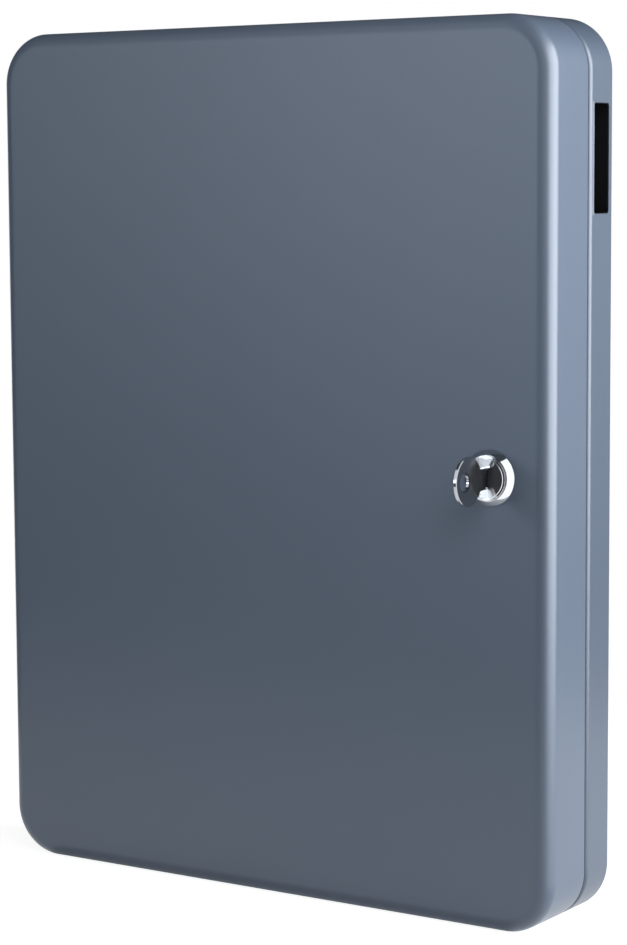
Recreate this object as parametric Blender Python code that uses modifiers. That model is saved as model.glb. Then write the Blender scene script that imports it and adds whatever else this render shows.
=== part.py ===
"""Steel key cabinet for a wall, closed, with its key in the lock.

A shallow back box carries two slotted rails, and hook bars clip into the rails. A deeper pressed door
swings on a piano hinge down the left side and locks with a cam lock on the right. A slot in the right
wall takes keys that are handed back.

Metres. +X is right as seen from the front, -Y points out of the door and +Z is up. The origin is the
middle of the back wall's outer face, where the cabinet meets the wall of the room.
"""

import math

import bmesh
import bpy
from mathutils import Vector

MM = 0.001

# Gaps
SEAT_GAP = 0.3 * MM
OVERRUN = 2.0 * MM
MERGE_WITHIN = 0.005 * MM

# Pressed shells
CABINET_WIDTH = 339.0 * MM
CABINET_HEIGHT = 450.0 * MM
CORNER_RADIUS = 27.0 * MM
CORNER_STEPS = 7
SHEET = 1.0 * MM
SEAM_GAP = 1.2 * MM

BACK_BOX_DEPTH = 24.0 * MM
BACK_BOX_REAR_RADIUS = 1.6 * MM
BACK_BOX_RIM_RADIUS = 2.6 * MM
BACK_BOX_RETURN = 12.0 * MM

DOOR_DEPTH = 38.0 * MM
DOOR_FACE_RADIUS = 8.0 * MM
DOOR_FACE_STEPS = 4
DOOR_RIM_RADIUS = 1.3 * MM
DOOR_RETURN = 9.0 * MM
RIM_STEPS = 2

# Return slot in the right wall and the guard behind it
SLOT_HEIGHT = 54.0 * MM
SLOT_CORNER = 1.6 * MM
SLOT_CORNER_STEPS = 4
SLOT_FROM_BACK = 3.3 * MM
SLOT_FROM_FRONT = 6.0 * MM
SLOT_BELOW_TOP = 42.0 * MM
GUARD_WALL = 1.1 * MM
GUARD_REACH = 15.0 * MM
GUARD_MARGIN = 3.0 * MM
GUARD_SKIRT = 14.0 * MM
GUARD_FOLD = 2.4 * MM

# Keyhole-shaped holes that hang the cabinet on four wall screws
WALL_HOLE_FROM_SIDE = 23.5 * MM
WALL_HOLE_FROM_END = 45.0 * MM
WALL_HOLE_RADIUS = 4.6 * MM
WALL_HOLE_NECK = 4.6 * MM
WALL_HOLE_NECK_RISE = 9.0 * MM
WALL_HOLE_STEPS = 16

# Piano hinge
HINGE_END_ROOM = 36.0 * MM
HINGE_KNUCKLES = 13
HINGE_LEAF = 0.9 * MM
HINGE_LEAF_WIDTH = 15.0 * MM
HINGE_BARREL_RADIUS = 2.6 * MM
HINGE_KNUCKLE_GAP = 0.5 * MM
HINGE_RUNNING_GAP = 0.25 * MM
HINGE_CURL_DEGREES = 320.0
HINGE_CURL_STEPS = 10
HINGE_NOTCH_GAP = 0.6 * MM
HINGE_PIN_STEPS = 16

# Slotted rails on the back wall
RAIL_END_ROOM = 25.0 * MM
RAIL_FROM_BAR_END = 23.0 * MM
RAIL_WEB = 16.0 * MM
RAIL_FLANGE = 6.0 * MM
RAIL_HEIGHT = 4.5 * MM
RAIL_SHEET = 1.0 * MM
RAIL_SLOT_HEIGHT = 7.0 * MM
RAIL_SLOT_WIDTH = 3.0 * MM

# Hook bars
BAR_COUNT = 7
BAR_PITCH_SHARE = 0.135
BAR_END_ROOM = 28.5 * MM
BAR_HEIGHT = 24.0 * MM
BAR_SHEET = 1.0 * MM
BAR_LIP = 3.0 * MM
BAR_RISE = 8.0 * MM
TAB_WIDTH = 2.2 * MM
TAB_REACH = 1.0 * MM
TAB_NECK = 2.4 * MM
TAB_DROP = 2.6 * MM
HOOK_PITCH = 27.0 * MM
HOOK_END_ROOM = 15.0 * MM
HOOK_WIDTH = 4.6 * MM
HOOK_REACH = 13.0 * MM
HOOK_RISE = 7.0 * MM
HOOK_BEND = 1.8 * MM
HOOK_DROP = 2.4 * MM
HOOK_TIP = 1.6 * MM
HOOK_TIP_SHARE = 0.5
HOOK_ROOT_STEPS = 2
HOOK_BEND_STEPS = 3

# Number strips on the bars
STRIP_HEIGHT = 10.0 * MM
STRIP_SHEET = 0.5 * MM
STRIP_END_MARGIN = 3.0 * MM

# Cam lock
LOCK_FROM_EDGE = 33.0 * MM
LOCK_ABOVE_MIDDLE = 1.7 * MM
TURNED_STEPS = 32
TRIM_BASE_RADIUS = 14.0 * MM
TRIM_TOP_RADIUS = 12.2 * MM
TRIM_EDGE = 0.5 * MM
TRIM_HEIGHT = 2.4 * MM
HEAD_RADIUS = 11.7 * MM
HEAD_HEIGHT = 1.9 * MM
HEAD_CHAMFER = 0.4 * MM
BARREL_RADIUS = 9.3 * MM
BARREL_FLAT = 8.0 * MM
BARREL_LENGTH = 31.0 * MM
PLUG_FACE_RADIUS = 9.9 * MM
PLUG_FACE_HEIGHT = 1.0 * MM
PLUG_RADIUS = 6.4 * MM
PLUG_RUNNING_GAP = 0.25 * MM
TAIL_RADIUS = 4.2 * MM
TAIL_FLAT = 3.1 * MM
WASHER_RADIUS = 12.5 * MM
WASHER_SHEET = 0.8 * MM
NUT_ACROSS = 24.0 * MM
NUT_HEIGHT = 4.0 * MM

# Cam behind the lock
CAM_SHEET = 1.8 * MM
CAM_WIDTH = 14.0 * MM
CAM_LENGTH = 17.5 * MM
CAM_CLEARANCE = 0.6 * MM
CAM_ROUND_SHARE = 0.55
CAM_WASHER_RADIUS = 5.8 * MM
CAM_WASHER_SHEET = 0.8 * MM
CAM_SCREW_RADIUS = 1.5 * MM
CAM_SCREW_LENGTH = 9.0 * MM
CAM_SCREW_HEAD_RADIUS = 3.6 * MM
CAM_SCREW_HEAD_HEIGHT = 2.4 * MM
CAM_SCREW_CROWN_SHARE = 0.4
CAM_SCREW_SLOT = 0.9 * MM
CAM_SCREW_SLOT_DEPTH = 1.1 * MM

# Strike that the cam turns behind
STRIKE_HEIGHT = 44.0 * MM
STRIKE_SHEET = 1.2 * MM
STRIKE_FOOT = 9.4 * MM
STRIKE_LIP = 9.2 * MM
STRIKE_BEND = 0.9 * MM

# Key
KEY_THICKNESS = 2.0 * MM
KEY_BOW_RADIUS = 12.1 * MM
KEY_RING_RADIUS = 4.3 * MM
KEY_RING_FROM_MIDDLE = 4.2 * MM
KEY_BOW_FROM_FACE = 16.6 * MM
KEY_SHOULDER_WIDTH = 10.6 * MM
KEY_SHOULDER_FROM_FACE = 1.0 * MM
KEY_BLADE_WIDTH = 7.8 * MM
KEY_BLADE_LENGTH = 22.0 * MM
KEY_CUT_START = 1.6 * MM
KEY_CUT_PITCH = 3.2 * MM
KEY_CUT_FLAT = 0.9 * MM
KEY_CUT_DEPTH_SHARES = (0.14, 0.26, 0.10, 0.22, 0.16)
KEY_TIP_SHARE = 0.4
KEY_ROUND_STEPS = 28
KEY_RING_STEPS = 20

# Rubber bumpers on the return of the back box
BUMPER_RADIUS = 3.6 * MM
BUMPER_HEIGHT = 0.5 * MM
BUMPER_FROM_END = 48.0 * MM
BUMPER_STEPS = 16

# Places that follow from the sizes
BACK_BOX_FRONT = -BACK_BOX_DEPTH
DOOR_REAR = BACK_BOX_FRONT - SEAM_GAP
DOOR_FRONT = DOOR_REAR - DOOR_DEPTH
SEAM = (BACK_BOX_FRONT + DOOR_REAR) / 2
HALF_WIDTH = CABINET_WIDTH / 2
HALF_HEIGHT = CABINET_HEIGHT / 2
HINGE_LENGTH = CABINET_HEIGHT - 2 * HINGE_END_ROOM
HINGE_LEAF_INNER = -HALF_WIDTH + SHEET + SEAT_GAP + HINGE_LEAF
HINGE_X = HINGE_LEAF_INNER - HINGE_BARREL_RADIUS
LOCK_X = HALF_WIDTH - LOCK_FROM_EDGE
LOCK_PLACE = Vector((LOCK_X, DOOR_FRONT, LOCK_ABOVE_MIDDLE))
HEAD_BASE = SEAT_GAP + TRIM_HEIGHT + SEAT_GAP
LOCK_FACE = HEAD_BASE + HEAD_HEIGHT
PLUG_BORE_RADIUS = PLUG_RADIUS + PLUG_RUNNING_GAP
SLOT_WIDTH = BACK_BOX_DEPTH - SLOT_FROM_FRONT - SLOT_FROM_BACK
SLOT_MIDDLE = Vector((
    HALF_WIDTH - SHEET / 2, -SLOT_FROM_BACK - SLOT_WIDTH / 2, HALF_HEIGHT - SLOT_BELOW_TOP - SLOT_HEIGHT / 2
))
RAIL_REAR = -SHEET - SEAT_GAP
RAIL_FRONT = RAIL_REAR - RAIL_HEIGHT
BAR_REAR = RAIL_FRONT - SEAT_GAP
BAR_FRONT = BAR_REAR - BAR_SHEET
RAIL_LENGTH = CABINET_HEIGHT - 2 * RAIL_END_ROOM
BAR_PITCH = RAIL_LENGTH * BAR_PITCH_SHARE
BAR_LENGTH = CABINET_WIDTH - 2 * BAR_END_ROOM
RAIL_ACROSS = BAR_LENGTH / 2 - RAIL_FROM_BAR_END
HOOK_COUNT = int((BAR_LENGTH - 2 * HOOK_END_ROOM) / HOOK_PITCH) + 1
BARREL_END = HEAD_BASE - BARREL_LENGTH
CAM_FRONT = BARREL_END - CAM_CLEARANCE
CAM_BACK = CAM_FRONT - CAM_SHEET
CAM_SCREW_SEAT = CAM_BACK - SEAT_GAP - CAM_WASHER_SHEET - SEAT_GAP
OUT_OF_DOOR = (math.pi / 2, 0, 0)
SIDEWAYS = (math.pi / 2, 0, math.pi / 2)
KEY_TURN = (math.pi / 2, 0, -math.pi / 2)


def clear_scene():
    for old in list(bpy.data.objects):
        bpy.data.objects.remove(old)


def new_collection(name):
    collection = bpy.data.collections.new(name)
    bpy.context.scene.collection.children.link(collection)
    return collection


def new_material(name, colour, roughness, metallic):
    material = bpy.data.materials.new(name)
    material.use_nodes = True
    shader = material.node_tree.nodes["Principled BSDF"]
    shader.inputs["Base Color"].default_value = (*colour, 1)
    shader.inputs["Roughness"].default_value = roughness
    shader.inputs["Metallic"].default_value = metallic
    return material


clear_scene()
PARTS = new_collection("key_cabinet")
CUTTERS = new_collection("cutters")

PAINT = new_material("paint", (0.100, 0.125, 0.165), 0.45, 0.0)
CHROME = new_material("chrome", (0.85, 0.86, 0.87), 0.08, 1.0)
NICKEL = new_material("nickel", (0.62, 0.61, 0.58), 0.20, 1.0)
ZINC = new_material("zinc", (0.62, 0.63, 0.63), 0.35, 1.0)
BLACK_PLASTIC = new_material("black_plastic", (0.010, 0.011, 0.013), 0.60, 0.0)
LABEL = new_material("label", (0.80, 0.80, 0.78), 0.50, 0.0)
RUBBER = new_material("rubber", (0.02, 0.02, 0.02), 0.85, 0.0)


def add_part(name, mesh, material, place=(0, 0, 0), turn=(0, 0, 0), carrier=None):
    """Adds a mesh or curve as a part at a place in the world, carried by an empty if it moves."""
    part = bpy.data.objects.new(name, mesh)
    part.data.materials.clear()
    part.data.materials.append(material)
    part.rotation_euler = turn
    part.location = Vector(place)
    if carrier:
        part.parent = carrier
        part.location -= world_place(carrier)
    PARTS.objects.link(part)
    return part


def add_carrier(name, place, carrier=None):
    """An empty on a joint's axis, which the pieces that move there hang from."""
    empty = bpy.data.objects.new(name, None)
    empty.location = Vector(place)
    if carrier:
        empty.parent = carrier
        empty.location -= world_place(carrier)
    PARTS.objects.link(empty)
    return empty


def world_place(empty):
    place = Vector(empty.location)
    while empty.parent:
        empty = empty.parent
        place += empty.location
    return place


def mesh_from(shape, name):
    mesh = bpy.data.meshes.new(name)
    shape.to_mesh(mesh)
    shape.free()
    return mesh


def add_sheet_thickness(part, thickness, offset):
    solidify = part.modifiers.new("sheet", "SOLIDIFY")
    solidify.thickness = thickness
    solidify.offset = offset
    solidify.use_even_offset = True


def smooth(part, degrees=35.0):
    part.data.shade_smooth()
    part.data.set_sharp_from_angle(angle=math.radians(degrees))


def cut(part, cutter):
    boolean = part.modifiers.new(cutter.name, "BOOLEAN")
    boolean.operation = "DIFFERENCE"
    boolean.object = cutter


def join(part, other):
    boolean = part.modifiers.new(other.name, "BOOLEAN")
    boolean.operation = "UNION"
    boolean.object = other


def add_cutter(name, mesh, place=(0, 0, 0), turn=(0, 0, 0)):
    cutter = bpy.data.objects.new(name, mesh)
    cutter.location = Vector(place)
    cutter.rotation_euler = turn
    cutter.hide_render = True
    cutter.display_type = "WIRE"
    CUTTERS.objects.link(cutter)
    return cutter


def block_mesh(name, low, high):
    """A box between two corners."""
    return blocks_mesh(name, [(low, high)])


def blocks_mesh(name, spans):
    """Separate boxes in one mesh, each between two corners."""
    shape = bmesh.new()
    for low, high in spans:
        low, high = Vector(low), Vector(high)
        made = bmesh.ops.create_cube(shape, size=1.0)["verts"]
        bmesh.ops.scale(shape, vec=high - low, verts=made)
        bmesh.ops.translate(shape, vec=(low + high) / 2, verts=made)
    return mesh_from(shape, name)


def rod_mesh(name, radius, low, high, steps):
    """A rod along Z from low to high."""
    shape = bmesh.new()
    made = bmesh.ops.create_cone(
        shape, cap_ends=True, segments=steps, radius1=radius, radius2=radius, depth=high - low
    )["verts"]
    bmesh.ops.translate(shape, vec=(0, 0, (low + high) / 2), verts=made)
    return mesh_from(shape, name)


def turned_part(name, profile, ring, material, place, carrier):
    """Turns (radius, height) points round Z. The points run down the outer side, top to bottom."""
    shape = bmesh.new()
    points = [shape.verts.new((radius, 0, height)) for radius, height in profile]
    for upper, lower in zip(points, points[1:]):
        shape.edges.new((upper, lower))
    if ring:
        shape.edges.new((points[-1], points[0]))
    mesh = mesh_from(shape, name)
    part = add_part(name, mesh, material, place, OUT_OF_DOOR, carrier)
    screw = part.modifiers.new("turn", "SCREW")
    screw.steps = TURNED_STEPS
    screw.render_steps = TURNED_STEPS
    screw.use_merge_vertices = True
    screw.merge_threshold = MERGE_WITHIN
    screw.use_smooth_shade = True
    return part


def outline_curve(name, outlines, thickness):
    """A flat plate in the curve's own XY plane from closed outlines. The inner ones are holes."""
    curve = bpy.data.curves.new(name, "CURVE")
    curve.dimensions = "2D"
    curve.fill_mode = "BOTH"
    curve.extrude = thickness / 2
    for outline in outlines:
        spline = curve.splines.new("POLY")
        spline.points.add(len(outline) - 1)
        for point, (across, up) in zip(spline.points, outline):
            point.co = (across, up, 0, 1)
        spline.use_cyclic_u = True
    return curve


def arc(centre, radius, start, end, steps):
    """Points on an arc, angles in degrees."""
    turns = [math.radians(start + (end - start) * step / steps) for step in range(steps + 1)]
    return [(centre[0] + radius * math.cos(t), centre[1] + radius * math.sin(t)) for t in turns]


def along_y(edge):
    run = edge.verts[0].co - edge.verts[1].co
    return abs(run.y) > max(abs(run.x), abs(run.z))


def on_plane(edge, y):
    return all(abs(vert.co.y - y) < MERGE_WITHIN for vert in edge.verts)


def round_edges(shape, edges, radius, steps):
    bmesh.ops.bevel(
        shape, geom=edges, offset=radius, offset_type="OFFSET", segments=steps, profile=0.5, affect="EDGES"
    )


def pressed_tray(name, depth, face_radius, face_steps, rim_radius, return_width):
    """A tray pressed from sheet, closed at -Y, its open side at +Y turned in by the return width."""
    shape = bmesh.new()
    bmesh.ops.create_cube(shape, size=1.0)
    bmesh.ops.scale(shape, vec=(CABINET_WIDTH, depth, CABINET_HEIGHT), verts=shape.verts)
    round_edges(shape, [e for e in shape.edges if along_y(e)], CORNER_RADIUS, CORNER_STEPS)
    open_side = max(shape.faces, key=lambda face: face.calc_center_median().y)
    bmesh.ops.inset_region(shape, faces=[open_side], thickness=return_width, use_even_offset=True)
    bmesh.ops.delete(shape, geom=[open_side], context="FACES")
    rim = [e for e in shape.edges if on_plane(e, depth / 2) and rim_edge(e)]
    face_edge = [e for e in shape.edges if on_plane(e, -depth / 2)]
    round_edges(shape, rim, rim_radius, RIM_STEPS)
    round_edges(shape, face_edge, face_radius, face_steps)
    return mesh_from(shape, name)


def rim_edge(edge):
    """Whether a side wall meets the edge, which tells the outer rim from the return's free edge."""
    return len(edge.link_faces) == 2 and any(abs(face.normal.y) < 0.5 for face in edge.link_faces)


def grow(shape, edges, step):
    """Extrudes edges by a step and returns the new ones."""
    made = bmesh.ops.extrude_edge_only(shape, edges=edges)["geom"]
    verts = {item for item in made if isinstance(item, bmesh.types.BMVert)}
    bmesh.ops.translate(shape, vec=step, verts=list(verts))
    return [
        item for item in made
        if isinstance(item, bmesh.types.BMEdge) and set(item.verts) <= verts
    ]


def chain(shape, places):
    """Edges through places in turn."""
    verts = [shape.verts.new(place) for place in places]
    return [shape.edges.new(pair) for pair in zip(verts, verts[1:])]


def follow(shape, edges, path, shares=None):
    """Extrudes edges along a path of points. Shares narrow the strip about its middle in X."""
    for index in range(1, len(path)):
        edges = grow(shape, edges, Vector(path[index]) - Vector(path[index - 1]))
        if shares and shares[index] != shares[index - 1]:
            verts = {vert for edge in edges for vert in edge.verts}
            middle = sum(vert.co.x for vert in verts) / len(verts)
            for vert in verts:
                vert.co.x = middle + (vert.co.x - middle) * shares[index] / shares[index - 1]
    return edges


def rounded(corners, radius, steps):
    """A flat path through corners, those between its ends rounded by arcs."""
    path = [Vector(corners[0])]
    for before, corner, after in zip(corners, corners[1:], corners[2:]):
        arrive = (Vector(corner) - Vector(before)).normalized()
        leave = (Vector(after) - Vector(corner)).normalized()
        turn = arrive.angle(leave)
        side = math.copysign(1, arrive.x * leave.y - arrive.y * leave.x)
        start = Vector(corner) - arrive * radius * math.tan(turn / 2)
        inward = Vector((-arrive.y, arrive.x)) * side
        for step in range(steps + 1):
            swing = side * turn * step / steps
            back = Vector((
                inward.x * math.cos(swing) - inward.y * math.sin(swing),
                inward.x * math.sin(swing) + inward.y * math.cos(swing),
            ))
            path.append(start + (inward - back) * radius)
    path.append(Vector(corners[-1]))
    return path


def split_at(edge, axis, stations):
    """Splits a straight edge at places along an axis and returns its pieces in rising order."""
    start, end = sorted(edge.verts, key=lambda vert: vert.co[axis])
    pieces = []
    for station in stations:
        share = (station - start.co[axis]) / (end.co[axis] - start.co[axis])
        piece, start = bmesh.utils.edge_split(edge, start, share)
        pieces.append(piece)
    return pieces + [edge]


def plate_mesh(name, outlines, thickness):
    """A flat plate as a mesh, for the pieces that are cut or that cut others."""
    curve = bpy.data.objects.new(name, outline_curve(name, outlines, thickness))
    CUTTERS.objects.link(curve)
    mesh = evaluated_mesh(curve, name)
    shape = bmesh.new()
    shape.from_mesh(mesh)
    bmesh.ops.remove_doubles(shape, verts=shape.verts, dist=MERGE_WITHIN)
    shape.to_mesh(mesh)
    shape.free()
    return mesh


def evaluated_mesh(source, name):
    """The mesh that an object's modifiers give. The object is removed."""
    bpy.context.view_layer.update()
    mesh = bpy.data.meshes.new_from_object(source.evaluated_get(bpy.context.evaluated_depsgraph_get()))
    mesh.name = name
    bpy.data.objects.remove(source)
    return mesh


def folded_sheet(name, path, width, sheet, material, place, carrier=None):
    """A strip of sheet folded along a path in XY, standing width high in Z about its own middle."""
    shape = bmesh.new()
    edges = chain(shape, [(across, deep, -width / 2) for across, deep in path])
    grow(shape, edges, (0, 0, width))
    part = add_part(name, mesh_from(shape, name), material, place, carrier=carrier)
    add_sheet_thickness(part, sheet, 0)
    return part


def double_d(radius, flat):
    """A circle with a flat on its left and its right."""
    corner = math.degrees(math.acos(flat / radius))
    half = TURNED_STEPS // 2
    top = arc((0, 0), radius, corner, 180 - corner, half)
    return top + arc((0, 0), radius, 180 + corner, 360 - corner, half)


def hinge_notch(name, return_width):
    """Clears a rim of its return and of the barrel's room along the hinge."""
    room = HINGE_BARREL_RADIUS + HINGE_NOTCH_GAP
    high = HINGE_LENGTH / 2 + HINGE_NOTCH_GAP
    low_corner = (-HALF_WIDTH - OVERRUN, SEAM - room, -high)
    high_corner = (-HALF_WIDTH + return_width + OVERRUN, SEAM + room, high)
    return add_cutter(name, block_mesh(name, low_corner, high_corner))


def make_back_box():
    mesh = pressed_tray(
        "back_box", BACK_BOX_DEPTH, BACK_BOX_REAR_RADIUS, RIM_STEPS, BACK_BOX_RIM_RADIUS, BACK_BOX_RETURN
    )
    box = add_part("back_box", mesh, PAINT, (0, -BACK_BOX_DEPTH / 2, 0), (0, 0, math.pi))
    add_sheet_thickness(box, SHEET, -1)
    cut(box, hinge_notch("back_box_hinge_notch", BACK_BOX_RETURN))
    cut(box, return_slot())
    for hole in wall_holes():
        cut(box, hole)
    smooth(box)


def return_slot():
    across = SLOT_WIDTH / 2
    up = SLOT_HEIGHT / 2
    corners = [(0, -up), (across, -up), (across, up), (-across, up), (-across, -up), (0, -up)]
    outline = rounded(corners, SLOT_CORNER, SLOT_CORNER_STEPS)[:-1]
    mesh = plate_mesh("return_slot", [outline], SHEET + 2 * OVERRUN)
    return add_cutter("return_slot", mesh, SLOT_MIDDLE, SIDEWAYS)


def wall_holes():
    """Four keyholes in the back wall. A screw's head enters the round part and the neck drops on to it."""
    half_neck = WALL_HOLE_NECK / 2
    lean = math.degrees(math.asin(half_neck / WALL_HOLE_RADIUS))
    sweep = 360 - 2 * lean
    outline = arc((0, 0), WALL_HOLE_RADIUS, 90 + lean, 90 + lean + sweep, WALL_HOLE_STEPS)
    outline += arc((0, WALL_HOLE_NECK_RISE), half_neck, 0, 180, WALL_HOLE_STEPS // 2)
    mesh = plate_mesh("wall_hole", [outline], SHEET + 2 * OVERRUN)
    across = HALF_WIDTH - WALL_HOLE_FROM_SIDE
    up = HALF_HEIGHT - WALL_HOLE_FROM_END
    return [
        add_cutter("wall_hole", mesh, (x, -SHEET / 2, z), OUT_OF_DOOR)
        for x in (-across, across) for z in (-up, up)
    ]


def make_door(hinge):
    mesh = pressed_tray(
        "door", DOOR_DEPTH, DOOR_FACE_RADIUS, DOOR_FACE_STEPS, DOOR_RIM_RADIUS, DOOR_RETURN
    )
    door = add_part("door", mesh, PAINT, (0, DOOR_REAR - DOOR_DEPTH / 2, 0), carrier=hinge)
    add_sheet_thickness(door, SHEET, -1)
    cut(door, hinge_notch("door_hinge_notch", DOOR_RETURN))
    hole = plate_mesh(
        "lock_hole", [double_d(BARREL_RADIUS + SEAT_GAP, BARREL_FLAT + SEAT_GAP)], SHEET + 2 * OVERRUN
    )
    cut(door, add_cutter("lock_hole", hole, LOCK_PLACE, OUT_OF_DOOR))
    smooth(door)


def hinge_leaf(name, toward, first_knuckle, carrier=None):
    """A hinge leaf with every second knuckle. Toward is 1 for the leaf behind the pin, -1 for the other."""
    middle = HINGE_BARREL_RADIUS - HINGE_LEAF / 2
    pitch = HINGE_LENGTH / HINGE_KNUCKLES
    end = HINGE_LENGTH / 2 - HINGE_KNUCKLE_GAP / 2
    root = toward * (HINGE_BARREL_RADIUS + HINGE_NOTCH_GAP)
    shape = bmesh.new()
    free_edge = chain(shape, [(middle, toward * HINGE_LEAF_WIDTH, z) for z in (-end, end)])
    root_edge = grow(shape, free_edge, (0, root - toward * HINGE_LEAF_WIDTH, 0))[0]
    stations = [
        -HINGE_LENGTH / 2 + (knuckle + side) * pitch + (0.5 - side) * HINGE_KNUCKLE_GAP
        for knuckle in range(first_knuckle, HINGE_KNUCKLES, 2) for side in (0, 1)
    ]
    inner = [station for station in stations if abs(station) < end - MERGE_WITHIN]
    pieces = split_at(root_edge, 2, inner)
    curl = arc((0, 0), middle, 0, -toward * HINGE_CURL_DEGREES, HINGE_CURL_STEPS)
    path = [(middle, root, 0)] + [(across, deep, 0) for across, deep in curl]
    for piece in pieces[first_knuckle::2]:
        follow(shape, [piece], path)
    bmesh.ops.recalc_face_normals(shape, faces=shape.faces)
    leaf = add_part(name, mesh_from(shape, name), ZINC, (HINGE_X, SEAM, 0), carrier=carrier)
    add_sheet_thickness(leaf, HINGE_LEAF, 0)
    smooth(leaf)


def make_hinge_pin():
    radius = HINGE_BARREL_RADIUS - HINGE_LEAF - HINGE_RUNNING_GAP
    pin = rod_mesh("hinge_pin", radius, -HINGE_LENGTH / 2, HINGE_LENGTH / 2, HINGE_PIN_STEPS)
    smooth(add_part("hinge_pin", pin, ZINC, (HINGE_X, SEAM, 0)))


def bar_heights():
    """The middle of each hook bar, from the top down."""
    return [BAR_RISE + ((BAR_COUNT - 1) / 2 - row) * BAR_PITCH for row in range(BAR_COUNT)]


def make_rail(name, across):
    half_web = (RAIL_WEB - RAIL_SHEET) / 2
    rise = RAIL_HEIGHT - RAIL_SHEET
    side = [(half_web + RAIL_FLANGE, 0), (half_web, 0), (half_web, -rise)]
    section = side + [(-x, y) for x, y in reversed(side)]
    rail = folded_sheet(
        name, section, RAIL_LENGTH, RAIL_SHEET, ZINC, (across, RAIL_REAR - RAIL_SHEET / 2, 0)
    )
    spans = []
    half_slot = RAIL_SLOT_WIDTH / 2
    behind = RAIL_FRONT + RAIL_SHEET + OVERRUN
    for height in bar_heights():
        for middle in (height, height - BAR_PITCH / 2):
            foot = middle + tab_foot() - SEAT_GAP
            low = (across - half_slot, RAIL_FRONT - OVERRUN, foot)
            spans.append((low, (across + half_slot, behind, foot + RAIL_SLOT_HEIGHT)))
    cut(rail, add_cutter(f"{name}_slots", blocks_mesh(f"{name}_slots", spans)))


def tab_foot():
    """How far the underside of a tab's neck lies from the middle of its bar."""
    return BAR_HEIGHT / 2 - BAR_LIP - TAB_NECK - TAB_DROP


def tab_mesh():
    """The hook at the back of a bar: a neck through the rail's slot and a leg down behind its web."""
    foot = tab_foot()
    web_back = RAIL_FRONT + RAIL_SHEET + SEAT_GAP - BAR_FRONT - BAR_SHEET / 2
    leg_back = web_back + TAB_REACH
    top = foot + TAB_NECK
    outline = [
        (0, foot), (web_back, foot), (web_back, foot - TAB_DROP), (leg_back, foot - TAB_DROP),
        (leg_back, top), (0, top),
    ]
    return plate_mesh("bar_tab", [outline], TAB_WIDTH)


def hook_bar_mesh():
    """A strip with a lip along its top and hooks lanced from its lower edge, with a tab for each rail."""
    top = (BAR_HEIGHT - BAR_SHEET) / 2
    low = -BAR_HEIGHT / 2
    shape = bmesh.new()
    lip_end = chain(shape, [(x, -BAR_LIP, top) for x in (-BAR_LENGTH / 2, BAR_LENGTH / 2)])
    strip = rounded([(-BAR_LIP, top), (0, top), (0, low)], BAR_SHEET, HOOK_ROOT_STEPS)
    lower_edge = follow(shape, lip_end, [(0, y, z) for y, z in strip])[0]
    first = -(HOOK_COUNT - 1) * HOOK_PITCH / 2
    middles = [first + number * HOOK_PITCH for number in range(HOOK_COUNT)]
    stations = [middle + side * HOOK_WIDTH / 2 for middle in middles for side in (-1, 1)]
    foot = low - HOOK_DROP
    bends = rounded(
        [(0, low), (0, foot), (-HOOK_REACH, foot), (-HOOK_REACH, foot + HOOK_RISE - HOOK_TIP)],
        HOOK_BEND, HOOK_BEND_STEPS,
    )
    path = [(0, y, z) for y, z in bends] + [(0, -HOOK_REACH, foot + HOOK_RISE)]
    shares = [1] * len(bends) + [HOOK_TIP_SHARE]
    for edge in split_at(lower_edge, 0, stations)[1::2]:
        follow(shape, [edge], path, shares)
    bmesh.ops.recalc_face_normals(shape, faces=shape.faces)
    bar = add_part("hook_bar", mesh_from(shape, "hook_bar"), ZINC)
    add_sheet_thickness(bar, BAR_SHEET, 0)
    tab = tab_mesh()
    for across in (-RAIL_ACROSS, RAIL_ACROSS):
        join(bar, add_cutter("bar_tab", tab, (across, 0, 0), SIDEWAYS))
    return evaluated_mesh(bar, "hook_bar")


def make_hook_bars():
    bar = hook_bar_mesh()
    strip = block_mesh(
        "number_strip",
        (-BAR_LENGTH / 2 + STRIP_END_MARGIN, -STRIP_SHEET, -STRIP_HEIGHT / 2),
        (BAR_LENGTH / 2 - STRIP_END_MARGIN, 0, STRIP_HEIGHT / 2),
    )
    for row, height in enumerate(bar_heights(), 1):
        place = (0, BAR_FRONT + BAR_SHEET / 2, height)
        smooth(add_part(f"hook_bar_{row}", bar, ZINC, place))
        add_part(f"number_strip_{row}", strip, LABEL, (0, BAR_FRONT - SEAT_GAP, height))


def make_slot_guard():
    """A chute behind the return slot, open to the slot and below, so that no finger reaches the hooks."""
    wall = HALF_WIDTH - SHEET - SEAT_GAP
    back = -SHEET - SEAT_GAP
    front = SLOT_MIDDLE.y - SLOT_WIDTH / 2 - GUARD_MARGIN
    top = SLOT_MIDDLE.z + SLOT_HEIGHT / 2 + GUARD_MARGIN
    size = Vector((GUARD_REACH, back - front, GUARD_MARGIN + SLOT_HEIGHT + GUARD_SKIRT))
    shape = bmesh.new()
    bmesh.ops.create_cube(shape, size=1.0)
    bmesh.ops.scale(shape, vec=size, verts=shape.verts)
    open_faces = [face for face in shape.faces if face.normal.x > 0.5 or face.normal.z < -0.5]
    bmesh.ops.delete(shape, geom=open_faces, context="FACES")
    folds = [edge for edge in shape.edges if len(edge.link_faces) == 2]
    round_edges(shape, folds, GUARD_FOLD, RIM_STEPS)
    middle = (wall - size.x / 2, (front + back) / 2, top - size.z / 2)
    guard = add_part("slot_guard", mesh_from(shape, "slot_guard"), BLACK_PLASTIC, middle)
    add_sheet_thickness(guard, GUARD_WALL, -1)
    smooth(guard)


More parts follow.
